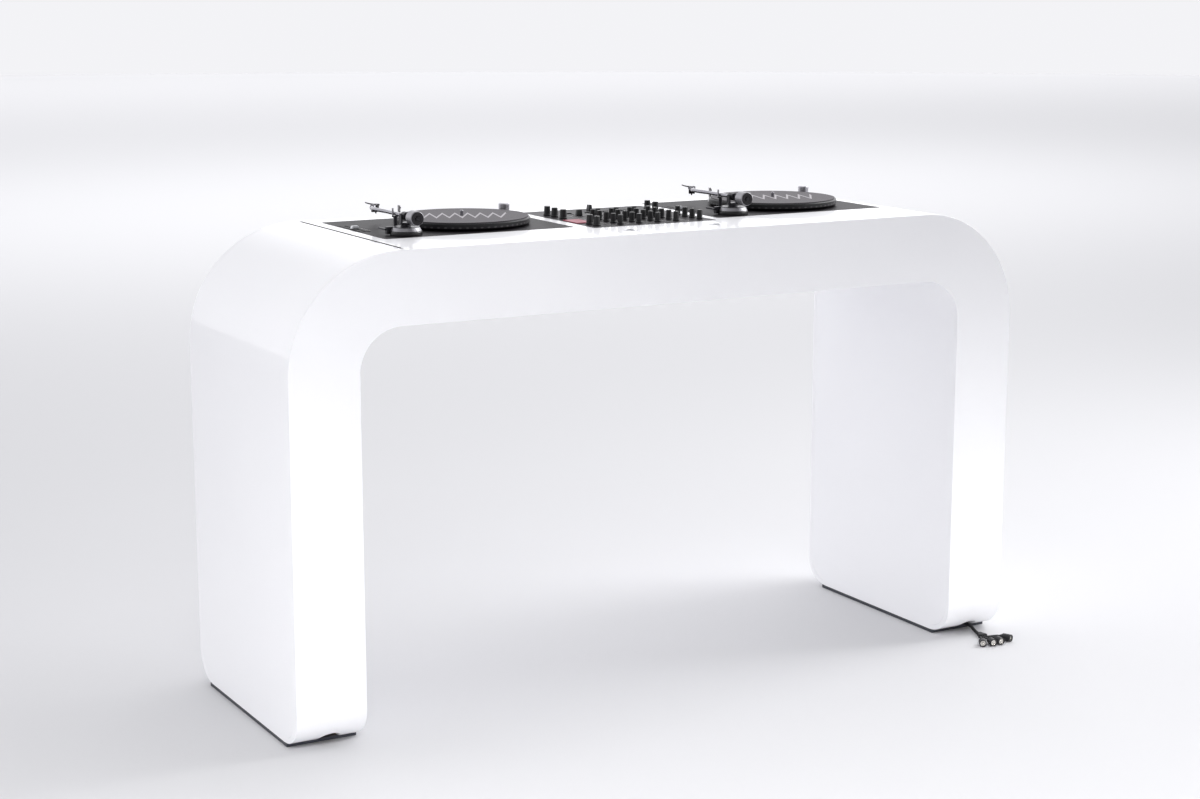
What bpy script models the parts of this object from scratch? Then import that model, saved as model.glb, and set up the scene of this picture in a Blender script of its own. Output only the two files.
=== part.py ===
"""DJ booth: a white arch with two turntables and a four-channel mixer let into its worktop.

Metres, +Z up. The origin is the centre of the footprint, on the floor. The audience stands on the -Y side
and the DJ on the +Y side; left and right are the audience's. Every object is one sub-part, and each moving
piece has its origin on its joint's axis.
"""

import math

import bmesh
import bpy
import numpy as np
from mathutils import Matrix, Vector

# Clearances
FIT = 0.0003  # between pieces that touch
RUNNING = 0.0005  # round a piece that slides or turns in another
CUTOUT_CLEARANCE = 0.001  # round a deck or the mixer in the worktop
SHARP_ANGLE = 35.0  # degrees between two faces, above which their edge stays sharp

# Equipment let into the worktop
PLATTER_RADIUS = 0.152
PLATTER_TOP = 0.017  # above the deck's top plate
PLATTER_GAP = 0.0015
PLATTER_BORDER = 0.0245  # from the platter's rim to the plate's front and rear edges
PLATTER_SIDE_BORDER = 0.0375  # from the rim to the plate's side edge, away from the tonearm
ARM_BAY = 0.1115  # from the rim to the plate's side edge, beside the tonearm
EQUIPMENT_DEPTH = 0.097  # from the worktop down to the shelf
FOOT_HEIGHT = 0.012
FOOT_RADIUS = 0.022
FOOT_BLOCK = 0.015  # how far a foot reaches up inside the case
CASE_CORNER = 0.008
CASE_WALL = 0.006
DECK_PLATE = 0.012
MIXER_WIDTH = 0.316
MIXER_LENGTH = 0.352
MIXER_PLATE = 0.010
MIXER_WALL = 0.004

DECK_LENGTH = 2 * (PLATTER_RADIUS + PLATTER_BORDER)
DECK_WIDTH = 2 * PLATTER_RADIUS + PLATTER_SIDE_BORDER + ARM_BAY
CASE_DEPTH = EQUIPMENT_DEPTH - FOOT_HEIGHT

# The booth's shell
HEIGHT = 1.030
ARCH_THICKNESS = 0.156
CORNER_RADIUS = 0.250
FRONT_MARGIN = 0.1825  # from the front face to the deck plates
REAR_MARGIN = 0.0545
LEFT_MARGIN = 0.0455  # from the start of the left corner to the left plate
LEFT_GAP = 0.030  # between the left plate and the mixer
RIGHT_GAP = 0.0255
RIGHT_MARGIN = 0.001
MIXER_SETBACK = 0.0365  # how far the mixer's front edge lies before the plates' front edges
SKIN = 0.009
FASCIA = 0.012
PLINTH_HEIGHT = 0.008
FOOT_ROLL = 0.070  # radius of the rolled lower edges, front and rear
PLINTH_REACH = 0.008  # how far the plinth reaches under the roll
TOP_LIP = 0.032  # depth of the front fascia's lip beside the worktop
SEAM = 0.007  # open joint between left shell and worktop
SEAM_INSET = 0.009  # from the start of the left corner to that joint
NOTCH_WIDTH = 0.056
NOTCH_HEIGHT = 0.021
NOTCH_REACH = 0.120  # from the front face to the notches' inner ends
NOTCH_SHIFT = 0.007  # of both cable notches, to the right of the middle of the leg

FLAT_WIDTH = LEFT_MARGIN + LEFT_GAP + MIXER_WIDTH + RIGHT_GAP + RIGHT_MARGIN + 2 * DECK_WIDTH
WIDTH = FLAT_WIDTH + 2 * CORNER_RADIUS
DEPTH = FRONT_MARGIN + DECK_LENGTH + REAR_MARGIN
HALF_WIDTH = WIDTH / 2
HALF_DEPTH = DEPTH / 2
HALF_FLAT = FLAT_WIDTH / 2
SPRING_HEIGHT = HEIGHT - CORNER_RADIUS  # where the legs end and the corners begin
INNER_RADIUS = CORNER_RADIUS - ARCH_THICKNESS
FOOT_Z = PLINTH_HEIGHT + FIT  # underside of the white body
LEG_MIDDLE = HALF_WIDTH - ARCH_THICKNESS / 2
BELOW = -0.02  # how far the shell's sections run past the floor before they are trimmed
OVERRUN = 0.01  # how far other cutters run past the faces they cut

LEFT_DECK_X = -HALF_FLAT + LEFT_MARGIN + DECK_WIDTH / 2
RIGHT_DECK_X = HALF_FLAT - RIGHT_MARGIN - DECK_WIDTH / 2
MIXER_X = -HALF_FLAT + LEFT_MARGIN + DECK_WIDTH + LEFT_GAP + MIXER_WIDTH / 2
DECK_Y = -HALF_DEPTH + FRONT_MARGIN + DECK_LENGTH / 2
MIXER_Y = -HALF_DEPTH + FRONT_MARGIN - MIXER_SETBACK + MIXER_LENGTH / 2

# Frame inside the shell
BOARD = 0.018
RIB = 0.015
SHELF = 0.012
CABLE_HOLE_RADIUS = 0.030
WINDOW_BORDER = 0.070

# Round inlays in the worktop before the mixer
INLAY_RADIUS = 0.015
INLAY_BODY_RADIUS = 0.012
INLAY_RISE = 0.0008
INLAY_BODY = 0.014
INLAY_CUP_RADIUS = 0.0085
INLAY_CUP_DEPTH = 0.005
INLAY_SPACING = 0.219
INLAY_SETBACK = 0.0705  # from the mixer's front edge

# Deck: motor and spindle
WELL_RADIUS = 0.078
WELL_DEPTH = 0.045
WELL_WALL = 0.004
STATOR_RADIUS = 0.070
ROTOR_RADIUS = 0.060
ROTOR_THICKNESS = 0.006
ROTOR_DEPTH = 0.006  # of the rotor's top, under the plate
AIR_GAP = 0.0008
SHAFT_RADIUS = 0.005
BOSS_RADIUS = 0.012
PLATTER_CHAMFER = 0.002
PLATTER_BEVEL = 0.005  # under the rim
HUB_RADIUS = 0.030
RIM_WIDTH = 0.014
WEB_UNDERSIDE = 0.008
SPINDLE_RADIUS = 0.0036
SPINDLE_RISE = 0.014  # above the platter
MAT_RADIUS = 0.148
MAT_THICKNESS = 0.0016
RECORD_GAP = 0.0016  # height kept free under the stylus, for a record

# Deck: tonearm
PIVOT_INSET_X = 0.0715  # from the plate's side edge
PIVOT_INSET_Y = 0.0515  # from the plate's front edge
ARM_HEIGHT = 0.040
OVERHANG = 0.015
REST_CLEARANCE = 0.0425  # from the platter's rim to the stylus at rest
STEM_ANGLE = 8.0  # degrees, from the line of pivot and stylus to the straight part of the tube
OFFSET_ANGLE = 22.0  # degrees, from that line to the headshell
STEM_LENGTH = 0.095
BULGE_SHARE = 0.36  # where the tube leans out most, from the stem's end to the collar
BULGE_WIDTH = 0.0035
BULGE_ANGLE = 6.0
TUBE_STEP = 0.0004  # length over which the tube changes its radius
TUBE_RADIUS = 0.0042
ARM_HUB_RADIUS = 0.009
ARM_HUB_REAR = 0.010
ARM_HUB_FRONT = 0.012
STUB_RADIUS = 0.0045
STUB_LENGTH = 0.064
COLLAR_RADIUS = 0.0062
COLLAR_LENGTH = 0.010
SHELL_LENGTH = 0.052  # from the collar to the stylus
SHELL_WIDTH = 0.017
SHELL_PLATE = 0.0036
SHELL_OVERHANG = 0.004  # of the plate, past the stylus
SHELL_OVERLAP = 0.002  # of the pieces that make up the headshell
NECK_RADIUS = 0.0035
NECK_LENGTH = 0.010
CARTRIDGE_LENGTH = 0.026
CARTRIDGE_WIDTH = 0.0144
STYLUS_HEIGHT = 0.0055  # below the cartridge
STYLUS_HALF = 0.002
FINGER_LENGTH = 0.016
FINGER_WIDTH = 0.004
FINGER_RISE = 0.0035
WEIGHT_RADIUS = 0.0155
WEIGHT_LENGTH = 0.034
WEIGHT_OFFSET = 0.028  # from the pivot to the weight's dial ring
DIAL_RING_RADIUS = 0.0125
DIAL_RING = 0.006
WEIGHT_CHAMFER = 0.002
ARM_BASE_RADIUS = 0.035
ARM_BASE_HEIGHT = 0.018
ARM_BASE_STEP = 0.0065  # height of the base's upright edge, and width of the slope above it
COLUMN_RADIUS = 0.011
COLUMN_HEIGHT = 0.022
YOKE_RADIUS = 0.014
YOKE_PLATE = 0.004
EAR = 0.004
EAR_WIDTH = 0.012
REST_DISTANCE = 0.055  # from the pivot to the arm rest
POST_RADIUS = 0.004
PRONG = 0.003
PRONG_RISE = 0.012  # of the rest's prong above the tube's axis
CUE_LENGTH = 0.034
CUE_SHAFT_RADIUS = 0.002
CUE_SHAFT_LENGTH = 0.010
CUE_THICKNESS = 0.004
CUE_LUG = 0.012
CUE_X = 0.012  # the shaft's place, along the arm from the pivot
CUE_Z = 0.0126

# Deck: controls on the plate
DIAL_RADIUS = 0.0125
DIAL_HEIGHT = 0.030
DIAL_INSET_X = 0.0365
DIAL_INSET_Y = 0.0815
DIAL_RECESS = 0.002
DIAL_CHAMFER = 0.002
LAMP_RADIUS = 0.0035  # of the stylus lamp's column
LAMP_HEIGHT = 0.033
LAMP_INSET = (0.1745, 0.0365)
BUTTON_RISE = 0.0025
BUTTON_BODY = 0.0045  # of a button below the plate
BUTTON_TRAVEL = 0.002
BUTTON_CORNER = 0.0015
START_SIZE = (0.038, 0.024)
START_INSET = (0.026, 0.023)
SPEED_SIZE = (0.018, 0.011)
SPEED_INSET = (0.0685, 0.0165)
SPEED_PITCH = 0.022
PITCH_TRAVEL = 0.100
PITCH_INSET = (0.0175, 0.1505)
PITCH_SIZE = (0.016, 0.011, 0.007)
STEM_WIDTH = 0.003
STEM_REACH = 0.006  # of a fader's stem into its slot
CAP_TAPER = (0.86, 0.72)  # a fader cap's top, to its foot
STEM_SHARE = 0.6  # of a fader's stem, to the cap's length

# Mixer: controls on the faceplate
CHANNELS = 4
CHANNEL_BORDER = 0.062  # from the outer channel strips to the faceplate's sides
CHANNEL_PITCH = (MIXER_WIDTH - 2 * CHANNEL_BORDER) / CHANNELS
CHANNEL_SHIFT = -0.001
COLUMN_INSET = 0.025  # of the knobs beside the channels, from the faceplate's sides
SIDE_COLUMNS = (COLUMN_INSET - MIXER_WIDTH / 2, MIXER_WIDTH / 2 - COLUMN_INSET)
ROW_PITCH = MIXER_LENGTH / 11
STRIP_ROWS = (4.375, 3.375, 2.375, 1.375, 0.4375)  # in row pitches, from the middle to the audience
LOWER_ROWS = (0.5, 1.8125, 2.9375)  # the same to the DJ, in the side columns
FADER_CENTRE = 1.625 * ROW_PITCH  # from the middle towards the DJ
FADER_TRAVEL = 0.060
CROSSFADER_CENTRE = 4.21875 * ROW_PITCH
CROSSFADER_TRAVEL = 0.045
FADER_CAP = (0.014, 0.009, 0.014)
KNOB_RADIUS = 0.0075
KNOB_HEIGHT = 0.022
KNOB_TAPER = 0.78  # a knob's top, to its foot
BIG_KNOB = 1.2  # a side column's knob, to a channel's
SHAFT_RADIUS_MIXER = 0.003
BOARD_THICKNESS = 0.002
BOARD_INSET = 0.004
DISPLAY_SIZE = (0.036, 0.046, 0.0012)
DISPLAY_CENTRE = (SIDE_COLUMNS[0], -1.625 * ROW_PITCH)

# Cable loom at the right foot
TRUNK_RADIUS = 0.004
TAIL_RADIUS = 0.0025
TAIL_LEAD = 0.005  # straight run at both ends of a tail
GLAND_SIZE = (0.017, 0.014, 0.011)
GLAND_NOSE = 0.022
NOSE_WALL = 0.001  # of a rubber nose or boot, beside its cord
GLAND_SHIFT = 0.014  # to the right of the middle of the leg
GLAND_SETBACK = 0.061  # from the front face
TRUNK_ROUTE = (  # beyond the gland's nose, from the gland's foot
    (-0.0004, -0.0360, 0.0122),
    (-0.0016, -0.0460, 0.0082),
    (-0.0032, -0.0560, 0.0055),
    (-0.0050, -0.0660, 0.0048),
    (-0.0062, -0.0720, 0.0048),
)
SPLITTER_PLACE = (-0.0063, -0.0723)
SPLITTER_HEADING = -101.0  # degrees from +X
SPLITTER_LENGTH = 0.022
SPLITTER_HEIGHT = 0.0096
SPLITTER_WALL = 0.0015  # beside the trunk
SPLITTER_SPREAD = 0.0062  # between neighbouring tails
TAIL_ENDS = (  # rear end of each plug and the plug's heading in degrees from +X
    ((-0.0395, -0.1260), -124.0),
    ((-0.0230, -0.1300), -105.0),
    ((-0.0030, -0.1290), -98.0),
    ((0.0170, -0.1220), -66.0),
)
PLUG_RADIUS = 0.0086
PLUG_BARREL = 0.022
PLUG_BOOT = 0.009
PLUG_FACE_RADIUS = 0.0066
PLUG_RECESS = 0.003  # from the barrel's rim to the contact face


# Outlines and meshes


def arc(centre, radius, start, end, steps):
    """Points along an arc, both ends included, with its angles in degrees."""
    angles = (math.radians(start + (end - start) * i / steps) for i in range(steps + 1))
    return [(centre[0] + radius * math.cos(a), centre[1] + radius * math.sin(a)) for a in angles]


def rectangle(width, length, corner=0.0, steps=4):
    """Outline of a centred rectangle, with its corners rounded if corner is given."""
    x, y = width / 2, length / 2
    if not corner:
        return [(-x, -y), (x, -y), (x, y), (-x, y)]
    points = []
    for sx, sy, start in ((1, 1, 0), (-1, 1, 90), (-1, -1, 180), (1, -1, 270)):
        points += arc((sx * (x - corner), sy * (y - corner)), corner, start, start + 90, steps)
    return points


def prism(outline, low, high, axis="Z"):
    """A closed outline carried from low to high along an axis: (y, z) on X, (x, z) on Y, (x, y) on Z."""
    place = {
        "X": lambda u, v: (low, u, v),
        "Y": lambda u, v: (u, low, v),
        "Z": lambda u, v: (u, v, low),
    }[axis]
    way = {"X": Vector((1, 0, 0)), "Y": Vector((0, 1, 0)), "Z": Vector((0, 0, 1))}[axis]
    mesh = bmesh.new()
    face = mesh.faces.new([mesh.verts.new(place(u, v)) for u, v in outline])
    made = bmesh.ops.extrude_face_region(mesh, geom=[face])["geom"]
    moved = [part for part in made if isinstance(part, bmesh.types.BMVert)]
    bmesh.ops.translate(mesh, verts=moved, vec=way * (high - low))
    bmesh.ops.recalc_face_normals(mesh, faces=mesh.faces)
    return mesh


def box(low, high):
    """A box between two corners."""
    outline = [(low[0], low[1]), (high[0], low[1]), (high[0], high[1]), (low[0], high[1])]
    return prism(outline, low[2], high[2])


def turned(profile, segments=24):
    """A profile of (radius, z) spun about Z. It starts and ends on the axis, or is a closed loop off it."""
    mesh = bmesh.new()
    points = [mesh.verts.new((r, 0, z)) for r, z in profile]
    lines = [mesh.edges.new(pair) for pair in zip(points, points[1:])]
    if profile[0][0] > 0:
        lines.append(mesh.edges.new((points[-1], points[0])))
    bmesh.ops.spin(mesh, geom=points + lines, axis=(0, 0, 1), angle=math.tau, steps=segments)
    bmesh.ops.remove_doubles(mesh, verts=mesh.verts, dist=1e-6)
    bmesh.ops.recalc_face_normals(mesh, faces=mesh.faces)
    return mesh


def rod(radius, low, high, segments=16):
    """A plain cylinder about Z."""
    return turned([(0, low), (radius, low), (radius, high), (0, high)], segments)


def moved(mesh, offset=(0, 0, 0), turn=None):
    """The same mesh, turned by a (degrees, axis) pair and then moved."""
    if turn:
        mesh.transform(Matrix.Rotation(math.radians(turn[0]), 4, turn[1]))
    mesh.transform(Matrix.Translation(offset))
    return mesh


def together(*meshes):
    """Separate closed meshes held in one."""
    whole = bmesh.new()
    for mesh in meshes:
        held = bpy.data.meshes.new("held")
        mesh.to_mesh(held)
        mesh.free()
        whole.from_mesh(held)
        bpy.data.meshes.remove(held)
    return whole


# Objects and finishes


def finish(name, colour, roughness, metallic=0.0):
    """One Principled finish, by its linear colour."""
    material = bpy.data.materials.new(name)
    material.use_nodes = True
    shader = material.node_tree.nodes["Principled BSDF"]
    shader.inputs["Base Color"].default_value = (*colour, 1)
    shader.inputs["Roughness"].default_value = roughness
    shader.inputs["Metallic"].default_value = metallic
    material.diffuse_color = (*colour, 1)
    return material


def white_gloss(name):
    return finish(name, (0.88, 0.88, 0.90), 0.12)


def birch_board(name):
    return finish(name, (0.55, 0.42, 0.27), 0.6)


def black_plastic(name):
    return finish(name, (0.025, 0.024, 0.027), 0.4)


def black_board(name):
    return finish(name, (0.045, 0.047, 0.06), 0.5)


def dark_plate(name):
    return finish(name, (0.09, 0.085, 0.09), 0.35, 0.6)


def silver_metal(name):
    return finish(name, (0.62, 0.62, 0.64), 0.28, 1.0)


def black_rubber(name):
    return finish(name, (0.02, 0.02, 0.022), 0.75)


def grey_felt(name):
    return finish(name, (0.10, 0.095, 0.10), 0.95)


def group(name, location=(0, 0, 0), heading=0.0, parent=None):
    """An empty that pieces are placed from, turned about Z by a heading in degrees."""
    empty = bpy.data.objects.new(name, None)
    empty.location = location
    empty.rotation_euler = (0, 0, math.radians(heading))
    empty.parent = parent
    bpy.context.scene.collection.objects.link(empty)
    return empty


def put(name, mesh, location, heading, parent):
    """An object from a mesh, turned about Z by a heading in degrees."""
    data = bpy.data.meshes.new(name)
    mesh.to_mesh(data)
    mesh.free()
    piece = bpy.data.objects.new(name, data)
    piece.location = location
    piece.rotation_euler = (0, 0, math.radians(heading))
    piece.parent = parent
    bpy.context.scene.collection.objects.link(piece)
    return piece


def solid(name, mesh, look, location=(0, 0, 0), heading=0.0, parent=None):
    """One sub-part with its own finish."""
    piece = put(name, mesh, location, heading, parent)
    piece.data.materials.append(look(name))
    return piece


def guide(name, mesh, parent=None):
    """A shape that only cuts, joins or limits other pieces."""
    piece = put(name, mesh, (0, 0, 0), 0.0, parent)
    piece.hide_render = True
    piece.display_type = "WIRE"
    return piece


def combine(piece, operation, *tools):
    """Adds one exact Boolean to the piece for each tool."""
    for tool in tools:
        step = piece.modifiers.new(tool.name, "BOOLEAN")
        step.operation = operation
        step.solver = "EXACT"
        step.object = tool


def join(piece, *meshes):
    """Joins more meshes to the piece, in the piece's own coordinates."""
    for number, mesh in enumerate(meshes, 1):
        tool = guide(f"{piece.name}_join_{number}", mesh, piece)
        combine(piece, "UNION", tool)


def cut(piece, *meshes):
    """Cuts meshes away from the piece, in the piece's own coordinates."""
    for number, mesh in enumerate(meshes, 1):
        tool = guide(f"{piece.name}_cut_{number}", mesh, piece)
        combine(piece, "DIFFERENCE", tool)


def settle_shapes():
    """Applies every Boolean, removes the guides and shades round faces smooth between sharp edges."""
    graph = bpy.context.evaluated_depsgraph_get()
    pieces = [piece for piece in bpy.data.objects if piece.type == "MESH"]
    results = [(piece, bpy.data.meshes.new_from_object(piece.evaluated_get(graph))) for piece in pieces]
    for piece, result in results:
        if piece.hide_render:
            bpy.data.objects.remove(piece)
            continue
        piece.modifiers.clear()
        piece.data = result
        result.shade_smooth()
        result.set_sharp_from_angle(angle=math.radians(SHARP_ANGLE))


# Shell of the booth


def arch_outline(inset=0.0, steps=16):
    """The arch seen from the front, (x, z), thinned by an inset on both sides. It runs on below the floor."""
    outer, inner = CORNER_RADIUS - inset, INNER_RADIUS + inset
    right, left = (HALF_FLAT, SPRING_HEIGHT), (-HALF_FLAT, SPRING_HEIGHT)
    points = [(-HALF_FLAT - outer, BELOW)]
    points += arc(left, outer, 180, 90, steps) + arc(right, outer, 90, 0, steps)
    points += [(HALF_FLAT + outer, BELOW), (HALF_FLAT + inner, BELOW)]
    points += arc(right, inner, 0, 90, 10) + arc(left, inner, 90, 180, 10)
    points.append((-HALF_FLAT - inner, BELOW))
    return points


def side_outline(inset=0.0):
    """The booth seen from the side, (y, z): rolled at the foot and open at the top.

    The inset is what the fascias take at the front, round the rolls and at the rear. Between the two rolls
    the outline still reaches down to the plinth.
    """
    top = HEIGHT - BELOW
    half = HALF_DEPTH - inset
    roll = FOOT_ROLL - inset
    centre_y, centre_z = HALF_DEPTH - FOOT_ROLL, FOOT_Z + FOOT_ROLL
    front = arc((-centre_y, centre_z), roll, 270, 180, 10)
    points = [(-centre_y + FIT, FOOT_Z), (-centre_y + FIT, FOOT_Z + inset)] if inset else []
    points += front + [(-half, top)]
    return points + [(-y, z) for y, z in reversed(points)]


def fascia_outline():
    """Section of the front fascia, (y, z): an upright sheet that rolls under at the foot."""
    centre = (-HALF_DEPTH + FOOT_ROLL, FOOT_Z + FOOT_ROLL)
    top = HEIGHT - BELOW
    outer = [(-HALF_DEPTH, top)] + arc(centre, FOOT_ROLL, 180, 270, 10)
    inner = arc(centre, FOOT_ROLL - FASCIA, 270, 180, 10) + [(-HALF_DEPTH + FASCIA, top)]
    return outer + inner


def skin_band(path):
    """A skin's section, (x, z), from a function that gives its path at an inset."""
    return path(0.0) + list(reversed(path(SKIN)))


def left_path(inset):
    """From the left foot up and round to the open joint."""
    radius = CORNER_RADIUS - inset
    corner = arc((-HALF_FLAT, SPRING_HEIGHT), radius, 180, 90, 16)
    return [(-HALF_FLAT - radius, BELOW)] + corner + [(-HALF_FLAT + SEAM_INSET, HEIGHT - inset)]


def worktop_path(inset):
    """From the open joint along the top, round the right corner and down to the right foot."""
    radius = CORNER_RADIUS - inset
    corner = arc((HALF_FLAT, SPRING_HEIGHT), radius, 90, 0, 16)
    return [(-HALF_FLAT + SEAM_INSET + SEAM, HEIGHT - inset)] + corner + [(HALF_FLAT + radius, BELOW)]


def liner_path(inset):
    """From the left foot up, under the bridge and down to the right foot."""
    radius = INNER_RADIUS + inset
    left = arc((-HALF_FLAT, SPRING_HEIGHT), radius, 180, 90, 10)
    right = arc((HALF_FLAT, SPRING_HEIGHT), radius, 90, 0, 10)
    return [(-HALF_FLAT - radius, BELOW)] + left + right + [(HALF_FLAT + radius, BELOW)]


def notch_cutters():
    """Two arched cutters through the front feet and into the frame behind them, for cables."""
    half = NOTCH_WIDTH / 2
    outline = [(half * math.cos(a), NOTCH_HEIGHT * math.sin(a)) for a in np.linspace(0, math.pi, 9)]
    outline = [(half, -FOOT_Z)] + outline + [(-half, -FOOT_Z)]
    cutters = []
    for side in (-1, 1):
        shifted = [(x + side * LEG_MIDDLE + NOTCH_SHIFT, z + FOOT_Z) for x, z in outline]
        cutters.append(prism(shifted, -HALF_DEPTH - OVERRUN, -HALF_DEPTH + NOTCH_REACH, "Y"))
    return together(*cutters)


def make_shell():
    arch = guide("arch_volume", prism(arch_outline(), -HALF_DEPTH - OVERRUN, HALF_DEPTH + OVERRUN, "Y"))
    inside = guide("side_volume", prism(side_outline(FASCIA + FIT), -WIDTH, WIDTH, "X"))
    notches = guide("foot_notches", notch_cutters())
    lip_end = HALF_FLAT - SEAM_INSET - SEAM
    lip_low = HEIGHT - SKIN

    half = HALF_WIDTH + OVERRUN
    front = solid("front_fascia", prism(fascia_outline(), -half, half, "X"), white_gloss)
    combine(front, "INTERSECT", arch)
    join(front, box((-lip_end, -HALF_DEPTH + FASCIA / 2, lip_low), (lip_end, -HALF_DEPTH + TOP_LIP, HEIGHT)))
    combine(front, "DIFFERENCE", notches)

    rear_section = [(-y, z) for y, z in reversed(fascia_outline())]
    rear = solid("rear_fascia", prism(rear_section, -half, half, "X"), white_gloss)
    combine(rear, "INTERSECT", arch)

    lip_room = guide(
        "lip_room",
        box(
            (-lip_end - FIT, -HALF_DEPTH, lip_low - FIT),
            (lip_end + FIT, -HALF_DEPTH + TOP_LIP + FIT, HEIGHT + OVERRUN),
        ),
    )
    skins = {"left_shell": left_path, "worktop_shell": worktop_path, "inner_liner": liner_path}
    for name, path in skins.items():
        skin = solid(name, prism(skin_band(path), -HALF_DEPTH, HALF_DEPTH, "Y"), white_gloss)
        combine(skin, "INTERSECT", inside)
        if name == "worktop_shell":
            combine(skin, "DIFFERENCE", lip_room)
            cut_worktop(skin)


def make_plinths():
    half_length = HALF_DEPTH - FOOT_ROLL + PLINTH_REACH
    half_width = ARCH_THICKNESS / 2
    for side, x in (("left", -LEG_MIDDLE), ("right", LEG_MIDDLE)):
        board = box((-half_width, -half_length, 0), (half_width, half_length, PLINTH_HEIGHT))
        solid(f"{side}_plinth", board, black_board, (x, 0, 0))


def cut_worktop(worktop):
    """Cuts the worktop for both decks, the mixer and the two inlays."""
    holes = []
    for x, y, width, length in (
        (LEFT_DECK_X, DECK_Y, DECK_WIDTH, DECK_LENGTH),
        (RIGHT_DECK_X, DECK_Y, DECK_WIDTH, DECK_LENGTH),
        (MIXER_X, MIXER_Y, MIXER_WIDTH, MIXER_LENGTH),
    ):
        outline = rectangle(width + 2 * CUTOUT_CLEARANCE, length + 2 * CUTOUT_CLEARANCE, CASE_CORNER)
        holes.append(moved(prism(outline, HEIGHT - 2 * SKIN, HEIGHT + SKIN), (x, y, 0)))
    for x, y in inlay_places():
        holes.append(moved(rod(INLAY_BODY_RADIUS + FIT, HEIGHT - 2 * SKIN, HEIGHT + SKIN, 20), (x, y, 0)))
    cut(worktop, together(*holes))


def inlay_places():
    y = MIXER_Y - MIXER_LENGTH / 2 - INLAY_SETBACK
    return [(MIXER_X - INLAY_SPACING / 2, y), (MIXER_X + INLAY_SPACING / 2, y)]


def make_inlays():
    """Two flush caps with a shallow cup, their stems through the worktop."""
    profile = [
        (0, -INLAY_BODY),
        (INLAY_BODY_RADIUS, -INLAY_BODY),
        (INLAY_BODY_RADIUS, FIT),
        (INLAY_RADIUS, FIT),
        (INLAY_RADIUS - INLAY_RISE, INLAY_RISE),
        (INLAY_CUP_RADIUS + INLAY_RISE, INLAY_RISE),
        (INLAY_CUP_RADIUS, -INLAY_CUP_DEPTH),
        (0, -INLAY_CUP_DEPTH),
    ]
    for side, (x, y) in zip(("left", "right"), inlay_places()):
        solid(f"{side}_worktop_inlay", turned(profile, 16), silver_metal, (x, y, HEIGHT))


# Frame inside the shell


def make_carcass():
    """One glued frame: two legs of boards, and a bridge of rails, ribs and the shelf for the equipment."""
    inside = HALF_DEPTH - FASCIA - FIT
    arch = guide("carcass_arch", prism(arch_outline(SKIN + FIT, 8), -HALF_DEPTH, HALF_DEPTH, "Y"))
    side = guide("carcass_side", prism(side_outline(FASCIA + FIT), -WIDTH, WIDTH, "X"))
    rail_low = SPRING_HEIGHT - 2 * BOARD
    shelf_top = HEIGHT - EQUIPMENT_DEPTH - FIT
    first_rib, last_rib = rib_places()[0], rib_places()[-1]

    carcass = solid("carcass", box((-WIDTH, -DEPTH, rail_low), (WIDTH, -inside + BOARD, WIDTH)), birch_board)
    join(
        carcass,
        box((-WIDTH, inside - BOARD, rail_low), (WIDTH, DEPTH, WIDTH)),
        box((first_rib, -inside + BOARD / 2, shelf_top - SHELF), (last_rib, inside - BOARD / 2, shelf_top)),
    )
    rib_end = inside - BOARD / 2
    for x in rib_places():
        join(carcass, box((x - RIB / 2, -rib_end, rail_low), (x + RIB / 2, rib_end, WIDTH)))
    for low, high in ((-HALF_WIDTH, -HALF_FLAT - INNER_RADIUS), (HALF_FLAT + INNER_RADIUS, HALF_WIDTH)):
        leg_low, leg_high = low + SKIN + FIT, high - SKIN - FIT
        join(
            carcass,
            box((low, -DEPTH, 0), (leg_low + BOARD, DEPTH, rail_low + BOARD / 2)),
            box((leg_high - BOARD, -DEPTH, 0), (high, DEPTH, rail_low + BOARD / 2)),
            box((low, -DEPTH, rail_low), (high, DEPTH, rail_low + BOARD)),
            box((low, -DEPTH, 0), (high, DEPTH, FOOT_Z + BOARD)),
        )
    combine(carcass, "INTERSECT", arch, side)
    window_low, window_high = FOOT_Z + FOOT_ROLL + FASCIA, rail_low - WINDOW_BORDER
    window = rectangle(2 * (inside - WINDOW_BORDER), window_high - window_low)
    lifted = [(y, z + (window_low + window_high) / 2) for y, z in window]
    holes = [
        moved(rod(CABLE_HOLE_RADIUS, 0, HEIGHT, 10), (x, y, 0))
        for x, y in [(-LEG_MIDDLE, 0), (LEG_MIDDLE, 0)] + shelf_hole_places()
    ]
    cut(carcass, prism(lifted, -WIDTH, WIDTH, "X"), together(*holes), notch_cutters())


def rib_places():
    """The four cross ribs: outside both decks and between each deck and the mixer."""
    outside = RIB
    return [
        LEFT_DECK_X - DECK_WIDTH / 2 - outside,
        MIXER_X - MIXER_WIDTH / 2 - LEFT_GAP / 2,
        MIXER_X + MIXER_WIDTH / 2 + RIGHT_GAP / 2,
        RIGHT_DECK_X + DECK_WIDTH / 2 + outside,
    ]


def shelf_hole_places():
    """Cable holes in the shelf, behind each deck's middle and the mixer's."""
    y = DECK_Y + DECK_LENGTH / 4
    return [(LEFT_DECK_X, y), (MIXER_X, y), (RIGHT_DECK_X, y)]


# Deck


def pivot_place():
    """The tonearm's pivot on the deck plate, from the plate's centre."""
    return -DECK_WIDTH / 2 + PIVOT_INSET_X, -DECK_LENGTH / 2 + PIVOT_INSET_Y


def platter_place():
    return DECK_WIDTH / 2 - PLATTER_SIDE_BORDER - PLATTER_RADIUS, 0.0


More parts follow.
